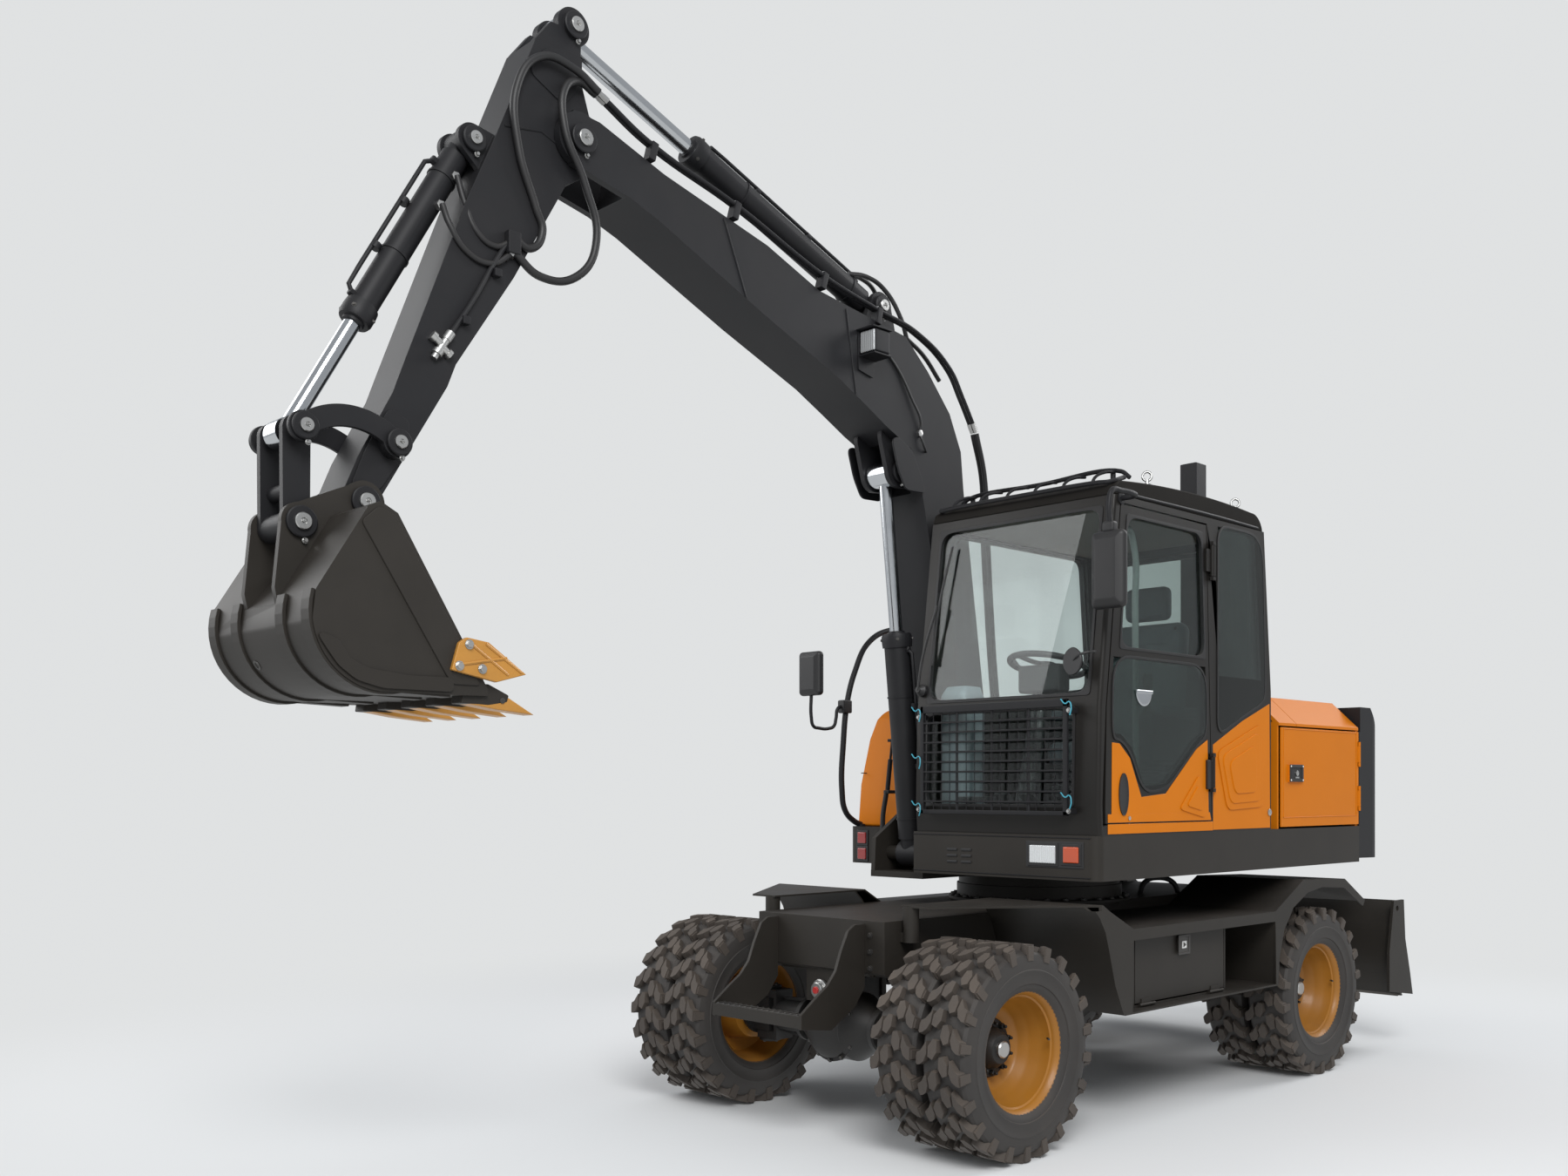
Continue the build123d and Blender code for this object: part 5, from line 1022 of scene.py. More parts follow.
def glazing(name, colour):
    """Clear or tinted pane with a faint film of dust; it lets the lamps' light through."""
    look, tree, shader = new_look(name, Transmission_Weight=1.0, IOR=1.35, Roughness=0.0)
    film = remap(tree, noise_in(tree, 1.3, 2, 0.4), 0.40, 0.70)
    tone = blended(tree, film, (*colour, 1), (*[c * 0.86 for c in colour], 1))
    tree.links.new(tone, shader.inputs["Base Color"])
    through = add(tree, "BsdfTransparent", {"Color": (*colour, 1)})
    shadow = add(tree, "LightPath").outputs["Is Shadow Ray"]
    mix = add(tree, "MixShader", {"Fac": shadow, 1: shader.outputs[0], 2: through.outputs[0]})
    tree.links.new(mix.outputs[0], tree.nodes["Material Output"].inputs["Surface"])
    return look


tinted = glazing("tinted_glass", (0.74, 0.80, 0.79))
dark_glass = glazing("dark_glass", (0.42, 0.49, 0.47))
finish_node(tinted, "cab_glass")
finish_node(dark_glass, "cab_door_glass")


def rounded(points, radius, steps=5):
    """Corner points with each corner turned into a short curve."""
    points = [Vector(point) for point in points]
    out = []
    for before, corner, after in zip(points[-1:] + points[:-1], points, points[1:] + points[:1]):
        to_before, to_after = before - corner, after - corner
        reach_a = min(radius, to_before.length * 0.45)
        reach_b = min(radius, to_after.length * 0.45)
        start = corner + to_before.normalized() * reach_a
        end = corner + to_after.normalized() * reach_b
        for step in range(steps + 1):
            t = step / steps
            out.append(start * (1 - t) ** 2 + corner * 2 * t * (1 - t) + end * t * t)
    return out


def frame_of(outer, inner, push, edge):
    """Flat frame between two rings of points, pushed to its thickness."""
    rings = []
    for places in (outer, inner):
        bpy.ops.object.select_all(action="DESELECT")
        bpy.ops.mesh.primitive_circle_add(vertices=len(places), fill_type="NOTHING",
                                          location=(0, 0, 0))
        ring = bpy.context.object
        for corner, place in zip(ring.data.vertices, places):
            corner.co = place
        rings.append(ring)
    piece = joined(rings)
    shape(piece, "EDGE")
    bpy.ops.mesh.select_all(action="SELECT")
    bpy.ops.mesh.bridge_edge_loops()
    bpy.ops.mesh.select_mode(type="FACE")
    bpy.ops.mesh.select_all(action="SELECT")
    bpy.ops.mesh.extrude_region_move(TRANSFORM_OT_translate={"value": push})
    done(piece)
    soft = piece.modifiers.new("soft", "BEVEL")
    soft.width = edge
    soft.segments = 2
    soft.limit_method = "ANGLE"
    soft.angle_limit = math.radians(50)
    bpy.ops.object.modifier_apply(modifier="soft")
    return piece


def grown(points, by):
    """Ring of points moved outwards from its middle lines (negative: inwards)."""
    points = [Vector(point) for point in points]
    normal = Vector((0, 0, 0))
    for a, b in zip(points, points[1:] + points[:1]):
        normal += a.cross(b)
    normal.normalize()
    out = []
    for before, corner, after in zip(points[-1:] + points[:-1], points, points[1:] + points[:1]):
        side_a = (corner - before).normalized().cross(normal)
        side_b = (after - corner).normalized().cross(normal)
        across = (side_a + side_b).normalized()
        out.append(corner + across * (by / max(0.35, across.dot(side_a))))
    return out


def seal(name, corners, push, body, over, under, radius):
    """Rubber seal round a pane: laps over the frame and covers the edge of the glass."""
    piece = frame_of(rounded(grown(corners, over), 0.02), rounded(grown(corners, -under), radius),
                     push, 0.002)
    fitted(piece, name, seal_rubber, body)


def front_at(z):
    """Forward position of the cab's front wall."""
    return 0.858 - 0.113 * (z - 1.83) / 0.915 if z > 1.83 else 0.868 - 0.010 * (z - 1.40) / 0.43


for name, right, low, high, slope, radius in (("windshield_seal", 0.906, 1.885, 2.700, -0.0025,
                                               0.07), ("lower_pane_seal", 0.836, 1.400, 1.830, 0,
                                                       0.05)):
    ring = [(x, -front_at(z) + 0.016, z) for x, z in ((-0.010, low), (right, low), (right, high),
                                                      (-0.010, high))]
    seal(name, ring, (0, -0.020, slope), "upper", 0.006, 0.008, radius)
rear = [(0.040, 0.586, 2.010), (0.856, 0.586, 2.010), (0.856, 0.556, 2.685), (0.040, 0.556, 2.685)]
seal("rear_pane_seal", rear, (0, 0.022, 0), "upper", 0.010, 0.020, 0.06)


def side_ring(x, outline):
    """Points on an upright plane across the machine, from (forward, height) in mm."""
    return [(x, -forward / 1000, z / 1000) for forward, z in outline]


UPPER_PANE = [(708, 2085), (652, 2668), (34, 2668), (6, 2085)]
RIGHT_PANE = [(640, 2710), (-455, 2710), (-520, 2010), (640, 1880)]
DOOR_PANE = [(770, 1692), (760, 2050), (0, 2050), (-12, 1728), (84, 1676), (250, 1546), (350, 1472),
             (530, 1458), (624, 1630), (704, 1688)]
CORNER_PANE = [(-106, 2722), (-455, 2722), (-536, 2640), (-560, 1960), (-540, 1900), (-337, 1824),
               (-104, 1722)]
for name, x, outline, radius, body in (("door_lower_pane", 0.9645, DOOR_PANE, 0.13, "cab_door"),
                                       ("corner_pane", 0.9650, CORNER_PANE, 0.09, "upper")):
    pane = cut_plate(rounded(side_ring(x, outline), radius, 6), (0.004, 0, 0), 0.0008, 1)
    fitted(pane, name, dark_glass, body, "tinted_glass")


def lip(name, corners, body, radius):
    """Rubber lip run round the edge of a pane that is glued on from outside."""
    smooth = rounded(corners, radius, 6)
    piece = frame_of(grown(smooth, 0.006), grown(smooth, -0.006), (0.006, 0, 0), 0.0015)
    fitted(piece, name, seal_rubber, body)


seal("door_upper_seal", side_ring(0.952, UPPER_PANE), (0.0165, 0, 0), "cab_door", 0.005, 0.008,
     0.07)
lip("door_lower_seal", side_ring(0.9645, DOOR_PANE), "cab_door", 0.13)
lip("corner_seal", side_ring(0.9645, CORNER_PANE), "upper", 0.09)
seal("right_pane_seal", side_ring(-0.0725, RIGHT_PANE), (0.034, 0, 0), "upper", 0.006, 0.010, 0.06)

sill = cut_plate([(CAB_SIDE, y, z) for y, z in ((-0.800, 1.330), (0.046, 1.330), (0.034, 1.3665),
                                                (-0.773, 1.3665), (-0.800, 1.3665))],
                 (0.0025, 0, 0), 0.0008, 1)
fitted(sill, "door_sill_panel", orange_paint, "cab_door", "orange_paint")
sill = block((CAB_SIDE, -0.800, 1.281), (0.9680, 0.062, 1.3235), 0.001, 1)
fitted(sill, "cab_sill_panel", orange_paint, "upper", "orange_paint")

# pressed fields of the orange panels, the speaker mouth and the locks
for name, body, x, outline, steps in (("door_pressed_field", "cab_door", 0.9675,
                                       [(62, 1547), (238, 1383), (6, 1339)],
                                       ((0, 0.0065, 0.035), (0.026, 0.0115, 0.030))),
                                      ("side_pressed_fields", "upper", CAB_SIDE,
                                       [(-98, 1651), (-511, 1797), (-536, 1388), (-192, 1373)],
                                       ((0, 0.0065, 0.045), (0.030, 0.0115, 0.045),
                                        (0.075, 0.0165, 0.045)))):
    fields = [cut_plate(rounded(grown(side_ring(x, outline), -inward), radius), (tall, 0, 0),
                        0.0045) for inward, tall, radius in steps]
    fitted(fields, name, orange_paint, body, "orange_paint")
oval = []
for step in range(28):
    turn = math.tau * step / 28
    oval.append((0.9675, -0.685 + 0.036 * math.cos(turn), 1.452 + 0.092 * math.sin(turn)))
mouth = cut_plate(oval, (0.006, 0, 0))
dish(mouth, lambda f: f.normal.x > 0.9, 0.008, (-0.004, 0, 0))
fitted(mouth, "speaker_mouth", plastic, "cab_door", "dark_plastic")
lock = turned((0.965, 0.600, 1.360), (1, 0, 0), [(0, 0.017), (0.006, 0.017), (0.008, 0.014),
                                                 (0.008, 0.006), (0.005, 0.005)], 28)
fitted(lock, "side_panel_lock", steel, "upper")
screw = turned((0.967, -0.640, 1.348), (1, 0, 0), [(0, 0.009), (0.005, 0.009), (0.006, 0.006)], 20)
fitted(screw, "door_panel_screw", steel, "cab_door")
latch = block((0.966, -0.006, 1.474), (0.984, 0.026, 1.612), 0.006, 3)
fitted(latch, "cab_door_latch", plastic, "cab_door", "dark_plastic")
HANDLE_X = 0.9685
bowl = turned((HANDLE_X, -0.530, 1.902), (1, 0, 0), [(0, 0.010), (0.001, 0.062), (0.004, 0.062),
                                                     (0.0055, 0.058), (0.0055, 0.050),
                                                     (0.003, 0.040)], 32)
shape(bowl)
bpy.ops.mesh.select_all(action="SELECT")
bpy.ops.mesh.bisect(plane_co=(HANDLE_X, -0.530, 1.906), plane_no=(0, 0, 1), clear_outer=True,
                    use_fill=True)
done(bowl)
grip = block((HANDLE_X, -0.594, 1.894), (0.980, -0.466, 1.910), 0.004, 3)
fitted([bowl, grip], "door_handle_bowl", chrome, "cab_door", "rod_chrome")


# ------------------------------------------------------------------ roof rack
# Bent tubes welded to a grid over the roof's front edge, a drip rail pressed on along the
# door's side and four lifting eyes screwed into the roof; rack and rail are painted black.
rail = [(0.962, -0.700, 2.758), (0.962, 0.10, 2.762), (0.962, 0.49, 2.757)]
fitted(hose(rail, 0.007), "roof_drip_rail", black_paint, "upper", "black_paint")
rack = [hose([(-0.020, -0.700, 2.800), (-0.020, -0.742, 2.802), (0.030, -0.752, 2.804),
              (0.46, -0.758, 2.806), (0.880, -0.752, 2.804), (0.930, -0.742, 2.802),
              (0.945, -0.640, 2.835)], 0.010), hose([(-0.010, -0.600, 2.850), (0.03, -0.600, 2.874),
                                                     (0.46, -0.602, 2.880), (0.90, -0.600, 2.874),
                                                     (0.945, -0.600, 2.840)], 0.010)]
for number in range(6):
    x = 0.06 + number * 0.158
    rack.append(hose([(x, -0.750, 2.806), (x, -0.722, 2.838), (x + 0.01, -0.670, 2.864),
                      (x + 0.02, -0.602, 2.876)], 0.007, 2))
for x in (0.06, 0.86):
    rack.append(turned((x, -0.602, 2.805), (0, 0, 1), [(0, 0.012), (0.072, 0.012)], 12))
fitted(rack, "roof_rack", black_paint, "upper", "black_paint")
eyes = []
for y, z in ((-0.393, 2.838), (0.387, 2.828)):
    for x in (0.90, 0.00):
        eyes.append(turned((x, y, z), (0, 0, 1), [(0, 0.020), (0.010, 0.020), (0.012, 0.010),
                                                  (0.030, 0.009)], 20))
        eyes.append(hoop_eye((x, y, z + 0.046), 0.6))
fitted(eyes, "roof_eye_bolts", steel, "upper")


# ------------------------------------------------------------------ wiper
# Motor cap low on the pillar, with a bent arm and a blade on the windshield, all in dark
# plastic; made as one piece, fixed to the cab's front.
def before_glass(x, z, gap):
    """Point in front of the cab's front wall."""
    return (x, -front_at(z) - gap, z)


motor = turned(before_glass(-0.045, 1.94, -0.004), (0, -1, 0.12),
               [(0, 0.030), (0.022, 0.030), (0.026, 0.026), (0.040, 0.014), (0.046, 0.014)], 24)
arm = hose([before_glass(-0.045, 1.94, 0.040), before_glass(-0.028, 2.10, 0.042),
            before_glass(0.030, 2.34, 0.034)], 0.0065)
blade_bar = hose([before_glass(0.010, 2.06, 0.012), before_glass(0.030, 2.34, 0.020),
                  before_glass(0.075, 2.62, 0.010)], 0.006)
fitted([motor, arm, blade_bar], "windshield_wiper", plastic, "upper", "dark_plastic")


# ------------------------------------------------------------------ mirrors and hand rail
# Moulded black housings with silvered panes, one on a tube bracket off the roof and one on
# the bent hand rail that is bolted to the deck; a small round mirror sits by the door.
def mirror_shell(low, high, edge, push):
    """Moulded housing with a domed front."""
    piece = block(low, high, edge, 5)
    shape(piece)
    pick(piece, lambda f: f.normal.y < -0.95)
    bpy.ops.mesh.extrude_region_move(TRANSFORM_OT_translate={"value": (0, -push, 0)})
    bpy.ops.transform.resize(value=(0.80, 1, 0.88))
    return done(piece)


housings = [mirror_shell((0.976, -0.950, 2.226), (1.1415, -0.897, 2.552), 0.026, 0.010),
            mirror_shell((-0.980, -0.780, 1.962), (-0.822, -0.732, 2.192), 0.022, 0.008),
            block((1.030, -0.940, 2.545), (1.086, -0.900, 2.590), 0.010, 3),
            block((-0.925, -0.540, 1.880), (-0.875, -0.475, 1.950), 0.008, 2)]
fitted(housings, "mirror_shells", plastic, "upper", "dark_plastic", 40)
RAIL_X = -0.900
BRACKET_X, BRACKET_Z = 1.058, 2.731
HAND_RAIL = [(-0.385, 1.285), (-0.430, 1.300), (-0.505, 1.360), (-0.530, 1.470), (-0.520, 1.720),
             (-0.490, 1.940), (-0.430, 2.110), (-0.330, 2.266), (-0.140, 2.354), (0.100, 2.360),
             (0.205, 2.325), (0.255, 2.230), (0.260, 2.100), (0.260, 1.915)]
LOW_ARM = [(-0.757, 1.975), (-0.757, 1.850), (-0.742, 1.805), (-0.700, 1.795), (-0.630, 1.795),
           (-0.590, 1.810), (-0.575, 1.850), (-0.560, 1.905), (-0.510, 1.915)]
arms = [hose([(RAIL_X, y, z) for y, z in HAND_RAIL], 0.0155),
        turned((RAIL_X, -0.385, 1.275), (0, 0, 1), [(0, 0.024), (0.012, 0.024), (0.014, 0.018)],
               24), turned((RAIL_X, 0.260, 1.912), (0, 0, 1),
                           [(0, 0.024), (0.010, 0.024), (0.012, 0.018)], 24),
        hose([(RAIL_X, y, z) for y, z in LOW_ARM], 0.009),
        hose([(0.960, -0.700, BRACKET_Z), (1.000, -0.700, BRACKET_Z), (1.040, -0.706, BRACKET_Z),
              (BRACKET_X, -0.740, BRACKET_Z), (BRACKET_X, -0.840, BRACKET_Z),
              (BRACKET_X, -0.900, 2.725), (BRACKET_X, -0.922, 2.690), (BRACKET_X, -0.922, 2.560)],
             0.012), turned((0.962, -0.700, BRACKET_Z), (1, 0, 0),
                            [(0, 0.026), (0.010, 0.026), (0.012, 0.018)], 24)]
fitted(arms, "mirror_arms_and_rail", black_paint, "upper", "black_paint", 60)
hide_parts("mirrors")
mirror_glass, tree, shader = new_look("mirror_glass", Base_Color=(0.75, 0.77, 0.78, 1),
                                      Metallic=1.0)
smudge = noise_in(tree, 12.0, 4, 0.6)
tree.links.new(remap(tree, smudge, 0.4, 0.8, 0.03, 0.22), shader.inputs["Roughness"])
panes = [block((0.994, -0.898, 2.246), (1.124, -0.894, 2.532), 0.0015, 1),
         block((-0.964, -0.733, 1.980), (-0.838, -0.729, 2.176), 0.0015, 1)]
fitted(panes, "mirror_panes", mirror_glass, "upper")
stalk = [hose([(0.945, -0.860, 2.06), (0.935, -0.905, 2.055), (0.900, -0.925, 2.040),
               (0.872, -0.915, 2.025)], 0.006), turned((0.866, -0.898, 2.020), (-0.25, -1, 0),
                                                       [(0, 0.030), (0.006, 0.056), (0.014, 0.060),
                                                        (0.018, 0.057)], 32)]
fitted(stalk, "round_mirror", plastic, "upper", "dark_plastic")
dome = turned((0.8655, -0.897, 2.020), (0.25, 1, 0), [(0, 0.052), (0.004, 0.046), (0.007, 0.030),
                                                      (0.008, 0.012)], 32)
fitted(dome, "round_mirror_glass", mirror_glass, "upper")


# ------------------------------------------------------------------ bar guard
# Welded steel bars and upright wires before the lower front pane, painted black; bolted to
# the cab at four lugs and tied with blue cord.
GUARD_LEFT, GUARD_RIGHT = 0.845, -0.012
LUG_SPOTS = [(x, z) for x in (GUARD_RIGHT, GUARD_LEFT) for z in (1.380, 1.812)]
blue_tie = paint("blue_tie", (0.05, 0.32, 0.42), 0.45, 0.0, coat=0.0)
ties = []
for x, z in ((GUARD_RIGHT, 1.84), (GUARD_RIGHT, 1.62), (GUARD_LEFT, 1.84), (GUARD_LEFT, 1.44),
             (GUARD_RIGHT, 1.40)):
    knot = ((-0.030, -0.930, 0.020), (-0.008, -0.928, 0.0), (0.010, -0.926, 0.008),
            (0.026, -0.932, -0.020), (0.020, -0.934, -0.050))
    ties.append(hose([(x + dx, y, z + dz) for dx, y, dz in knot], 0.0028, 2))
fitted(ties, "guard_ties", blue_tie, "upper")
fixing = [bolt((x, -0.912, z), (0, -1, 0), 0.008) for x, z in LUG_SPOTS]
fitted(fixing, "guard_bolts", steel, "upper")
bars = []
for low, high in (((-0.003, -0.914, 1.360), (0.836, -0.898, 1.380)),
                  ((-0.003, -0.914, 1.828), (0.836, -0.898, 1.862)),
                  ((-0.003, -0.914, 1.360), (0.017, -0.898, 1.862)),
                  ((0.812, -0.914, 1.360), (0.836, -0.898, 1.862))):
    bars.append(block(low, high, 0.003))
for number in range(9):
    z = 1.418 + number * 0.0455
    bars.append(block((0.008, -0.912, z - 0.0045), (0.826, -0.903, z + 0.0045), 0.002, 1))
for x in (0.210, 0.415, 0.622):
    bars.append(block((x - 0.006, -0.903, 1.370), (x + 0.006, -0.897, 1.850), 0.0015, 1))
for x, z in LUG_SPOTS:
    bars.append(block((x - 0.009, -0.908, z - 0.012), (x + 0.009, -0.846, z + 0.012), 0.002))
fitted(bars, "guard_bars", black_paint, "upper", "black_paint")
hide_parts("front_guard")
wires = []
for number in range(17):
    x = 0.020 + number * 0.0495
    wires.append(hose([(x, -0.902, 1.372), (x, -0.902, 1.850)], 0.0022, 1, "VECTOR"))
fitted(wires, "guard_wires", black_paint, "upper", "black_paint")


# ------------------------------------------------------------------ operator's seat
# Sprung seat with grey cloth cushions between two armrest consoles of dark plastic, with
# levers, pedals and a floor mat; it stands on the cab's floor.
SEAT_X = 0.45
cloth = paint("seat_cloth", (0.115, 0.135, 0.150), 0.9, 0.1, coat=0.0, bump=0.8, mottle=0.2)
cushion = block((0.215, -0.240, 1.590), (0.685, 0.240, 1.705), 0.045, 5)
dish(cushion, lambda f: f.normal.z > 0.95, 0.070, (0, 0, -0.016))
rest = block((0.222, 0.185, 1.660), (0.678, 0.290, 2.310), 0.048, 5)
dish(rest, lambda f: f.normal.y < -0.95, 0.075, (0, 0.018, 0))
shape(rest)
bpy.ops.mesh.select_all(action="SELECT")
bpy.ops.transform.rotate(value=math.radians(7), orient_axis="X",
                         center_override=(SEAT_X, 0.24, 1.66))
cushions = [cushion, done(rest), block((0.325, 0.275, 2.325), (0.575, 0.355, 2.495), 0.034, 5)]
for x in (SEAT_X - 0.30, SEAT_X + 0.30):
    cushions.append(block((x - 0.050, -0.130, 1.815), (x + 0.050, 0.220, 1.868), 0.020, 4))
fitted(cushions, "seat_cushions", cloth, "upper", "seat_fabric", 60)
base = []
for side in (-1, 1):
    x = SEAT_X + side * 0.30
    base.append(block((x - 0.048, -0.20, 1.60), (x + 0.048, 0.225, 1.82), 0.014, 3))
    base.append(turned((x, -0.165, 1.815), (side * 0.12, -0.18, 1),
                       [(0, 0.034), (0.012, 0.030), (0.040, 0.014), (0.120, 0.012), (0.130, 0.022),
                        (0.190, 0.026), (0.205, 0.018)], 20))
base.append(block((0.26, -0.22, 1.318), (0.64, 0.18, 1.600), 0.020, 3))
for number in range(5):
    z = 1.40 + number * 0.036
    base.append(block((0.245, -0.232, z), (0.655, 0.192, z + 0.018), 0.008, 2))
base.append(block((0.10, -0.80, 1.316), (0.88, 0.50, 1.324), 0.003))
base.append(block((0.13, -0.815, 1.42), (0.30, -0.700, 1.44), 0.005))
for x in (0.38, 0.52):
    base.append(cut_plate([(x - 0.04, -0.66, 1.33), (x + 0.04, -0.66, 1.33),
                           (x + 0.04, -0.79, 1.45), (x - 0.04, -0.79, 1.45)], (0, 0.010, 0.010),
                          0.002))
fitted(base, "seat_base_and_consoles", plastic, "upper", "dark_plastic", 40)
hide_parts("operator_seat")


# ------------------------------------------------------------------ steering wheel
# Padded rim on three spokes over a shrouded column, with a lever and a gauge pod, all of
# dark plastic; it stands before the seat.  A grey duct runs down beside it.
wheel_at = Vector((0.43, -0.500, 2.055))
lean = Vector((0, 0.160, 0.666)).normalized()
turn_to = Vector((0, 0, 1)).rotation_difference(lean)
bpy.ops.object.select_all(action="DESELECT")
bpy.ops.mesh.primitive_torus_add(location=(0, 0, 0), major_radius=0.178, minor_radius=0.015,
                                 major_segments=64, minor_segments=12)
rim = bpy.context.object
rim.rotation_mode = "QUATERNION"
rim.rotation_quaternion = turn_to
rim.location = wheel_at
bpy.ops.object.transform_apply(location=True, rotation=True, scale=True)
steer = [rim, turned(wheel_at - lean * 0.030, lean, [(0, 0.040), (0.020, 0.052), (0.034, 0.050),
                                                     (0.040, 0.036)], 32)]
for angle in (0.25, 2.35, 4.4):
    out = Vector((math.cos(angle), math.sin(angle), 0))
    out.rotate(turn_to)
    steer.append(hose([wheel_at, wheel_at + out * 0.09 - lean * 0.006, wheel_at + out * 0.172],
                      0.011))
steer.append(turned(wheel_at - lean * 0.72, lean, [(0, 0.060), (0.20, 0.055), (0.52, 0.050),
                                                   (0.62, 0.058), (0.69, 0.046)], 28))
steer.append(block((0.335, -0.610, 1.92), (0.575, -0.520, 2.05), 0.016, 3))
steer.append(hose([wheel_at - lean * 0.06, wheel_at - lean * 0.05 + Vector((-0.12, -0.01, 0.02)),
                   wheel_at + Vector((-0.19, -0.02, 0.04))], 0.008))
fitted(steer, "steering_wheel", plastic, "upper", "dark_plastic", 50)
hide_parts("steering_column")
dial = turned((0.45, -0.520, 1.985), (0, 1, 0.2), [(0, 0.050), (0.003, 0.050), (0.003, 0.042),
                                                   (0.0015, 0.040)], 32)
fitted(dial, "gauge_face", white_mark, "upper")
console_grey = paint("console_grey", (0.20, 0.235, 0.255), 0.55, 0.06, coat=0.0, bump=0.3)
duct = block((-0.018, -0.770, 1.330), (0.150, -0.600, 1.945), 0.040, 5)
shape(duct)
pick(duct, lambda f: f.normal.z > 0.95)
bpy.ops.transform.translate(value=(-0.010, 0.020, 0.020))
fitted(done(duct), "side_duct", console_grey, "upper")


# ------------------------------------------------------------------ cab fittings
# Grey grab pole screwed to the floor by the door, a red fire extinguisher on the rear post
# and a felt roof lining glued under the roof.
pole_grey = paint("pole_grey", (0.34, 0.35, 0.35), 0.4, 0.1, coat=0.3)
pole = hose([(0.885, -0.470, 1.322), (0.885, -0.470, 1.70), (0.885, -0.470, 2.30),
             (0.885, -0.480, 2.56), (0.885, -0.53, 2.63), (0.885, -0.58, 2.58)], 0.0145)
fitted([pole, turned((0.885, -0.470, 1.316), (0, 0, 1), [(0, 0.040), (0.008, 0.040),
                                                         (0.010, 0.020)], 24)], "grab_pole",
       pole_grey, "upper")
extinguisher_red = paint("extinguisher_red", (0.46, 0.016, 0.012), 0.3, 0.05, coat=0.6)
bottle = turned((0.852, 0.400, 2.065), (0, 0, 1), [(0, 0.042), (0.012, 0.050), (0.225, 0.050),
                                                   (0.255, 0.036), (0.268, 0.018), (0.285, 0.018)],
                36)
fitted(bottle, "fire_extinguisher", extinguisher_red, "upper")
valve = [block((0.834, 0.370, 2.345), (0.870, 0.435, 2.372), 0.006),
         hose([(0.852, 0.370, 2.355), (0.866, 0.340, 2.30), (0.872, 0.338, 2.20),
               (0.866, 0.346, 2.12)], 0.008), turned((0.852, 0.400, 2.14), (0, 0, 1),
                                                     [(0, 0.0525), (0.018, 0.0525)], 24)]
fitted(valve, "extinguisher_valve", plastic, "upper", "dark_plastic")
lining = paint("roof_lining", (0.17, 0.15, 0.13), 0.9, 0.05, coat=0.0, bump=0.3)
fitted(block((-0.010, -0.66, 2.715), (0.900, 0.47, 2.738), 0.006), "roof_lining", lining, "upper")


# ------------------------------------------------------------------ boom
# Bent box girder welded from plate and painted black, with its edges rounded; pins turn in
# its bosses, and doubling plates are welded to its sides.
finish_node(black_paint, "boom")
softened("boom", 0.005)
fit_pins("boom_pins", "boom", [(BOOM_X, 0.101, 0.894, 2.991, 0.036),
                               (BOOM_X, 0.150, 2.742, 3.968, 0.040),
                               (BOOM_X, 0.085, 1.000, 3.760, 0.035)])
HEAD_DOUBLER = [(760, 2900), (905, 2895), (960, 2990), (1000, 3120), (960, 3140), (860, 3090),
                (800, 2985)]
FOOT_DOUBLER = [(260, 1330), (400, 1330), (470, 1700), (440, 1830), (350, 1700)]
beads = []
for side in (-1, 1):
    x = BOOM_X + side * 0.1405
    for low, high in (((1.235, 3.286), (1.300, 3.662)), ((1.905, 3.566), (2.030, 3.868))):
        middle = ((low[0] + high[0]) / 2, (low[1] + high[1]) / 2)
        beads.append(hose([(x, -f, z) for f, z in (low, middle, high)], 0.0045, 1, "VECTOR"))
    beads.append(cut_plate(rounded(side_ring(x, HEAD_DOUBLER), 0.03), (side * 0.010, 0, 0), 0.003))
    beads.append(cut_plate(rounded(side_ring(x, FOOT_DOUBLER), 0.03), (side * 0.006, 0, 0), 0.002))
fitted(beads, "boom_weld_seams", black_paint, "boom", "black_paint")


# ------------------------------------------------------------------ boom pipes and hoses
# Black steel pipes clamped in pairs along the boom's back, coupled to rubber hoses: four go
# down to a manifold on the deck, two loop on to the stick and short ones feed the cylinder.
BACK = [(2.646, 4.130), (2.435, 4.033), (1.958, 3.909), (1.442, 3.744), (1.085, 3.675),
        (0.814, 3.629), (0.577, 3.507), (0.479, 3.382), (0.395, 3.260)]


PIPE_RISE = 0.030
# each pipe: its x, the first point of BACK it starts at, and its front coupling
PIPES = ((-0.105, 0, (2.640, 4.158, 0.46)), (-0.128, 0, (2.640, 4.158, 0.46)),
         (-0.372, 1, (2.430, 4.061, 0.34)), (-0.395, 1, (2.430, 4.061, 0.34)))
pipes = [hose([(x, -f, z + PIPE_RISE) for f, z in BACK[first:]], 0.0095) for x, first, end in PIPES]
fitted(pipes, "boom_pipes", black_paint, "boom", "black_paint")
clamps, heads = [], []
for f, z, tilt in ((2.400, 4.020, 0.26), (1.960, 3.909, 0.28), (1.440, 3.744, 0.31),
                   (1.085, 3.672, 0.17)):
    for middle in (-0.1165, -0.3835):
        clamp = block((middle - 0.0235, -0.016, -0.064), (middle + 0.0235, 0.016, 0.014), 0.004)
        clamp.rotation_euler = (-math.atan(tilt), 0, 0)
        clamp.location = (0, -f, z + PIPE_RISE)
        bpy.ops.object.transform_apply(location=True, rotation=True, scale=True)
        clamps.append(clamp)
        heads.append(bolt((middle, -f, z + 0.043), (0, tilt, 1), 0.007, 0.008))
fitted(clamps, "pipe_clamps", black_paint, "boom", "black_paint")
fitted(heads, "pipe_clamp_bolts", steel, "boom")

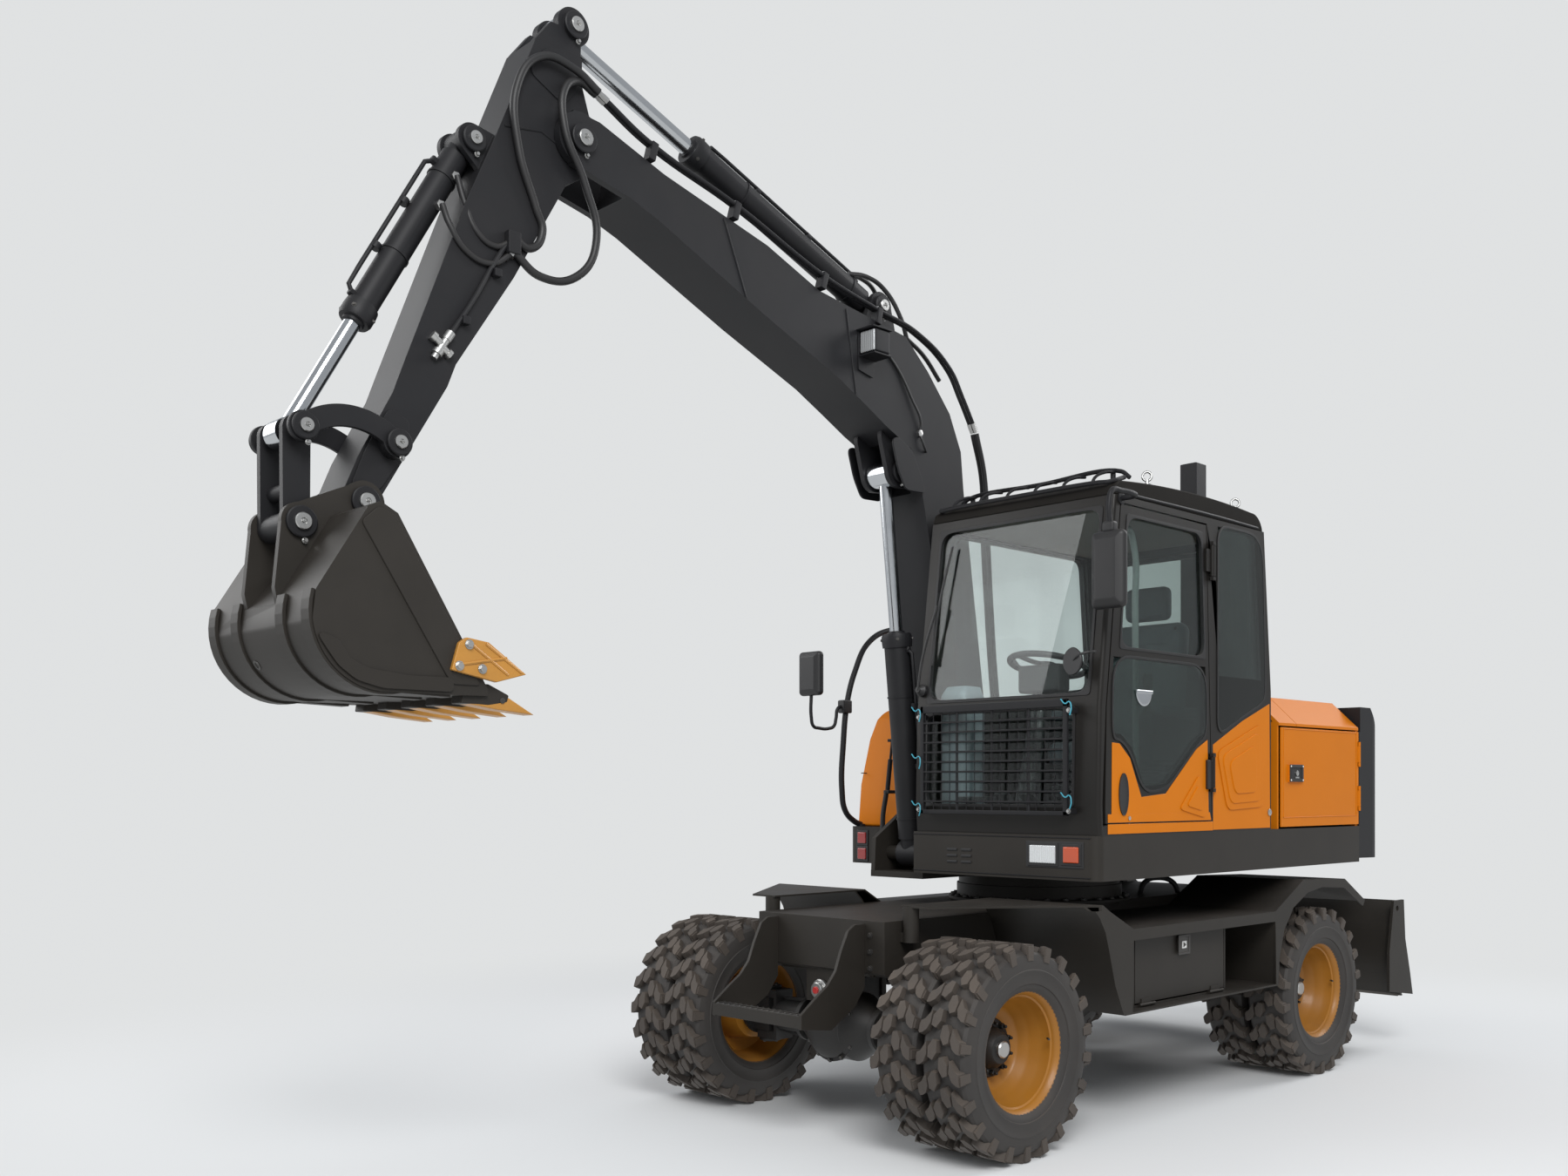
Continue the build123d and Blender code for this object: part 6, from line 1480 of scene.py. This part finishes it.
# couplings at the pipe ends and the spiral-guarded hoses to the stick
ends = []
for x, first, (f, z, rise) in PIPES:
    for spot, way in (((x, -f, z), (0, -1, rise)), ((x, -0.395, 3.290), (0, 0.55, -1))):
        ends.append(turned(spot, way, [(-0.014, 0.0128), (0.014, 0.0128), (0.016, 0.0115),
                                       (0.034, 0.0115)], 6))
fitted(ends, "pipe_couplings", steel, "boom")

LOOPS = {"stick_hose_outer": [(-0.105, -2.668, 4.172), (-0.108, -2.78, 4.225),
                              (-0.118, -2.92, 4.225), (-0.128, -3.02, 4.08), (-0.132, -3.01, 3.86),
                              (-0.140, -2.93, 3.66), (-0.142, -2.90, 3.58), (-0.140, -2.955, 3.50),
                              (-0.138, -3.03, 3.52)], "stick_hose_inner": [(-0.128, -2.668, 4.172),
                                                                           (-0.120, -2.75, 4.190),
                                                                           (-0.108, -2.82, 4.14),
                                                                           (-0.098, -2.83, 3.98),
                                                                           (-0.098, -2.74, 3.80),
                                                                           (-0.104, -2.68, 3.60),
                                                                           (-0.112, -2.76, 3.44),
                                                                           (-0.126, -2.92, 3.40),
                                                                           (-0.138, -3.03, 3.47)], }


def bridging(name, points, radius, start, end):
    """Hose held on two bodies, bending with the joint between them."""
    run = fitted(hose(points, radius), name, rubber_hose, None, None, 60)
    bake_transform(run, start, end, points[0], points[-1])


for name, points in LOOPS.items():
    bridging(name, points, 0.0155, "boom", "stick")
arm_feed = []
for x in (-0.190, -0.310):
    arm_feed.append(hose([(x, -0.800, 3.655), (x, -0.84, 3.74),
                          (x + (0.03 if x < -0.25 else -0.03), -0.93, 3.87),
                          (x * 0.3 - 0.175, -1.03, 3.905), (x * 0.2 - 0.20, -1.155, 3.892)], 0.011))
    arm_feed.append(hose([(x, -0.800, 3.655), (x, -0.68, 3.60), (x, -0.560, 3.50)], 0.011))
fitted(arm_feed, "arm_cylinder_hoses", rubber_hose, "boom")
DROPS = {"boom_hose_outer": [(-0.105, -0.375, 3.255), (-0.115, -0.30, 3.06), (-0.128, -0.262, 2.80),
                             (-0.125, -0.235, 2.40), (-0.128, -0.190, 2.00), (-0.135, -0.120, 1.62),
                             (-0.16, -0.02, 1.42), (-0.17, 0.06, 1.35)],
         "boom_hose_inner": [(-0.128, -0.375, 3.255), (-0.150, -0.28, 3.05), (-0.180, -0.235, 2.80),
                             (-0.178, -0.205, 2.40), (-0.180, -0.160, 2.00), (-0.190, -0.090, 1.62),
                             (-0.20, 0.00, 1.42), (-0.21, 0.07, 1.35)],
         "boom_hose_right": [(-0.372, -0.375, 3.255), (-0.345, -0.28, 3.05), (-0.315, -0.235, 2.80),
                             (-0.315, -0.205, 2.40), (-0.312, -0.160, 2.00), (-0.305, -0.090, 1.62),
                             (-0.30, 0.00, 1.42), (-0.29, 0.07, 1.35)],
         "boom_hose_far": [(-0.395, -0.375, 3.255), (-0.383, -0.30, 3.06), (-0.368, -0.262, 2.80),
                           (-0.370, -0.235, 2.40), (-0.366, -0.190, 2.00), (-0.358, -0.120, 1.62),
                           (-0.34, -0.02, 1.42), (-0.33, 0.06, 1.35)], }
for name, points in DROPS.items():
    bridging(name, points, 0.0125, "boom", "upper")
manifold = [block((-0.385, 0.055, 1.290), (-0.115, 0.145, 1.372), 0.008)]
for x in (-0.17, -0.21, -0.29, -0.33):
    manifold.append(turned((x, 0.068, 1.350), (0, -0.5, 1),
                           [(-0.01, 0.019), (0.014, 0.019), (0.018, 0.014)], 6))
fitted(manifold, "deck_manifold", dark_bolt, "upper")


# ------------------------------------------------------------------ work light
# Black steel case with a ribbed lens on a welded shelf at the boom's left side; its thin
# cable comes from a fitting in the side plate.
side_line = [hose([(-0.108, -0.803, 3.181), (-0.098, -0.80, 3.23), (-0.100, -0.86, 3.33),
                   (-0.104, -0.96, 3.46), (-0.106, -1.06, 3.54), (-0.108, -1.12, 3.60)], 0.006),
             hose([(-0.108, -0.803, 3.181), (-0.096, -0.795, 3.15), (-0.098, -0.770, 3.11),
                   (-0.106, -0.755, 3.10)], 0.006)]
fitted(side_line, "work_light_cable", rubber_hose, "boom")
fitting = turned((-0.110, -0.803, 3.181), (1, 0, 0), [(0, 0.017), (0.014, 0.017), (0.016, 0.012)],
                 6)
fitted(fitting, "boom_side_fitting", steel, "boom")
case = block((-0.104, -1.215, 3.470), (-0.006, -1.115, 3.575), 0.010, 3)
dish(case, lambda f: f.normal.y < -0.95, 0.006, (0, 0.008, 0))
bracket = cut_plate([(-0.108, -1.225, 3.462), (-0.108, -1.225, 3.40), (-0.108, -1.13, 3.38),
                     (-0.108, -1.11, 3.462)], (0.006, 0, 0), 0.002)
shelf = block((-0.110, -1.225, 3.458), (-0.002, -1.110, 3.466), 0.002)
hood_plate = block((-0.110, -1.235, 3.578), (-0.002, -1.105, 3.584), 0.002)
back_plate = block((-0.110, -1.225, 3.458), (-0.104, -1.105, 3.584), 0.002)
fitted([case, bracket, shelf, hood_plate, back_plate], "work_light_case", black_paint, "boom",
       "black_paint")
face = block((-0.099, -1.220, 3.474), (-0.011, -1.205, 3.571), 0.006, 2)
fitted(face, "work_light_lens", lens, "boom")


# ------------------------------------------------------------------ stick
# Tapered box arm of plate in black, with pin bosses at its head and nose; the pipe and the
# coupler for attachments are clamped to its left side, and hoses lead to the bucket cylinder.
for node, width in (("stick", 0.005), ("rockers", 0.004), ("bucket_link", 0.004)):
    finish_node(black_paint, node)
    softened(node, width)
fit_pins("stick_pins", "stick", [(BOOM_X, 0.100, 2.746, 4.419, 0.036),
                                 (BOOM_X, 0.085, 3.177, 3.848, 0.031),
                                 (BOOM_X, 0.165, 3.515, 2.667, 0.030),
                                 (BOOM_X, 0.135, 3.623, 2.452, 0.036)])
fit_pins("rocker_pins", "rockers", [(BOOM_X, 0.163, 3.848, 2.666, 0.030)])
fit_pins("bucket_knee_pins", "bucket", [(BOOM_X, 0.135, 3.848, 2.354, 0.037)])
beads = []
for side in (-1, 1):
    x = BOOM_X + side * 0.1005
    beads.append(hose([(x, -2.735, 3.90), (x, -2.90, 3.96), (x, -3.06, 3.93)], 0.0045, 1, "VECTOR"))
    nose = side_ring(x, [(3470, 2640), (3560, 2500), (3665, 2500), (3610, 2640), (3520, 2800),
                         (3440, 2760)])
    beads.append(cut_plate(rounded(nose, 0.03), (side * 0.008, 0, 0), 0.002))
    head = side_ring(x, [(2790, 4300), (2880, 4290), (2960, 4170), (2800, 4090), (2730, 4180)])
    beads.append(cut_plate(rounded(head, 0.04), (side * 0.004, 0, 0), 0.002))
fitted(beads, "stick_weld_seams", black_paint, "stick", "black_paint")
x = -0.140
line = [hose([(x, -3.030, 3.520), (x, -3.075, 3.46), (x, -3.20, 3.24), (x, -3.310, 3.070)], 0.0095,
             3), hose([(x, -3.030, 3.470), (x - 0.004, -3.06, 3.43)], 0.0095, 3)]
holders = [block((-0.152, -3.115, 3.355), (-0.122, -3.085, 3.385), 0.004),
           block((-0.152, -3.245, 3.150), (-0.122, -3.215, 3.180), 0.004),
           block((-0.152, -3.060, 3.455), (-0.118, -3.005, 3.540), 0.006)]
fitted(line + holders, "stick_pipe", black_paint, "stick", "black_paint")
tee = [turned((x, -3.305, 3.078), (0, -0.55, -0.84), [(-0.035, 0.018), (0.0, 0.018), (0.002, 0.015),
                                                      (0.050, 0.015), (0.052, 0.020),
                                                      (0.070, 0.020), (0.072, 0.013),
                                                      (0.090, 0.013)], 12),
       turned((x, -3.320, 3.058), (0, -0.84, 0.55), [(-0.004, 0.014), (0.030, 0.014),
                                                     (0.032, 0.019), (0.050, 0.019)], 12),
       turned((x, -3.325, 3.050), (0, 0.84, -0.55), [(-0.004, 0.014), (0.028, 0.014),
                                                     (0.030, 0.019), (0.044, 0.019)], 12),
       turned((x, -3.035, 3.512), (0, -0.6, -0.8), [(-0.03, 0.0165), (0.016, 0.0165)], 6),
       turned((x, -3.035, 3.462), (0, -0.6, -0.8), [(-0.03, 0.0165), (0.016, 0.0165)], 6)]
fitted(tee, "stick_coupler", steel, "stick")
bridging("bucket_cylinder_hose_low", [(-0.140, -3.042, 3.452), (-0.142, -3.12, 3.40),
                                      (-0.145, -3.22, 3.42), (-0.150, -3.285, 3.50),
                                      (-0.175, -3.300, 3.575)], 0.0115, "stick", "bucket_barrel")
bridging("bucket_cylinder_hose_high", [(-0.140, -3.040, 3.500), (-0.145, -3.10, 3.47),
                                       (-0.150, -3.17, 3.50), (-0.165, -3.215, 3.60),
                                       (-0.185, -3.235, 3.70)], 0.0115, "stick", "bucket_barrel")
side_ports = [turned((-0.205, -3.300, 3.577), (1, 0, 0), [(0, 0.017), (0.024, 0.017),
                                                          (0.028, 0.013)], 6),
              turned((-0.205, -3.235, 3.702), (1, 0, 0), [(0, 0.017), (0.016, 0.017),
                                                          (0.020, 0.013)], 6)]
fitted(side_ports, "bucket_cylinder_ports", steel, "bucket_barrel")


# ------------------------------------------------------------------ bucket
# Rolled shell between two side plates, with wear bands welded round its back, a doubled
# front edge, forged teeth on welded adapters and bolted side cutters.
finish_node(frame_paint, "bucket")
softened("bucket", 0.004)
tooth_paint = paint("tooth_paint", (0.47, 0.215, 0.032), 0.42, 0.12, (0.3, 0.25, 0.2), 0.15, 0.10)
finish_node(tooth_paint, "bucket_teeth")
softened("bucket_teeth", 0.004)

SHELL_AT, SHELL_R = (3.689, 2.034), 0.2445
BAND_HALF = 0.030
TEETH_X = [-0.600 + number * 0.175 for number in range(5)]
for number, middle in enumerate((-0.615, -0.425, -0.075, 0.115)):
    outer, inner = [], []
    for step in range(17):
        turn = math.radians(16 - 120 * step / 16)
        for ring, radius in ((outer, SHELL_R + 0.009), (inner, SHELL_R - 0.004)):
            ring.append((middle - BAND_HALF, -(SHELL_AT[0] + radius * math.cos(turn)),
                         SHELL_AT[1] + radius * math.sin(turn)))
    outer.append((middle - BAND_HALF, -3.450, 1.782))
    inner.append((middle - BAND_HALF, -3.450, 1.793))
    band = cut_plate(outer + inner[::-1], (2 * BAND_HALF, 0, 0), 0.002, 1)
    fitted(band, f"bucket_wear_band_{number + 1}", frame_paint, "bucket", "black_paint")
ADAPTER = [(-3.405, 1.765), (-3.300, 1.762), (-3.225, 1.775), (-3.218, 1.800), (-3.300, 1.836),
           (-3.395, 1.822)]
adapters = [cut_plate([(x - 0.036, y, z) for y, z in ADAPTER], (0.072, 0, 0),
                      0.005) for x in TEETH_X]
fitted(adapters, "tooth_adapters", frame_paint, "bucket", "black_paint")
slope = math.radians(-35)
out = Vector((0, -math.cos(slope), math.sin(slope)))
plugs = []
for x in (-0.36, -0.10):
    at = Vector((x, -SHELL_AT[0], SHELL_AT[1])) + out * (SHELL_R - 0.002)
    plugs.append(turned(at, out, [(0, 0.019), (0.0045, 0.018), (0.0045, 0.012), (0.001, 0.010)],
                        28))
fitted(plugs, "bucket_drain_plugs", dark_bolt, "bucket")
BAND = [(3.772, 2.332), (3.712, 2.388), (3.656, 2.366), (3.430, 1.990), (3.342, 1.826),
        (3.452, 1.826)]
STRIP = [(3.918, 1.958), (3.900, 1.965), (3.845, 1.944), (3.815, 1.890), (3.747, 1.861),
         (3.608, 1.846), (3.446, 1.848), (3.446, 1.800), (3.700, 1.800), (3.790, 1.822),
         (3.852, 1.866), (3.896, 1.925)]
RIBS = [((3.425, 1.893), (3.250, 1.925)), ((3.388, 1.965), (3.245, 1.868)),
        ((3.330, 1.968), (3.190, 1.878))]
straps, ribs, heads = [], [], []
for side in (-1, 1):
    x = BOOM_X + side * 0.3985
    straps.append(cut_plate(rounded([(x, -f, z) for f, z in BAND], 0.012, 2), (side * 0.0075, 0, 0),
                            0.002, 1))
    straps.append(cut_plate(rounded([(x, -f, z) for f, z in STRIP], 0.018, 3),
                            (side * 0.0105, 0, 0), 0.003, 2))
    face = BOOM_X + side * 0.420
    for rib in RIBS:
        ribs.append(hose([(face, -f, z) for f, z in rib], 0.0055, 1, "VECTOR"))
    for f, z in ((3.395, 1.962), (3.432, 1.888), (3.345, 1.882)):
        heads.append(bolt((face, -f, z), (side, 0, 0), 0.0125, 0.012))
fitted(straps, "bucket_side_straps", frame_paint, "bucket", "black_paint")
fitted(ribs, "side_cutter_ribs", tooth_paint, "bucket", "tooth_paint")
fitted(heads, "side_cutter_bolts", steel, "bucket")
tooth_ribs, tooth_pins = [], []
for x in TEETH_X:
    tooth_ribs.append(cut_plate([(x - 0.006, -3.225, 1.786), (x - 0.006, -3.130, 1.745),
                                 (x - 0.006, -3.225, 1.800)], (0.012, 0, 0), 0.002, 1))
    for side in (-1, 1):
        tooth_pins.append(turned((x + side * 0.0335, -3.245, 1.780), (side, 0, 0),
                                 [(0, 0.010), (0.004, 0.010), (0.005, 0.007)], 16))
fitted(tooth_ribs, "tooth_ribs", tooth_paint, "bucket", "tooth_paint")
fitted(tooth_pins, "tooth_pins", dark_bolt, "bucket")
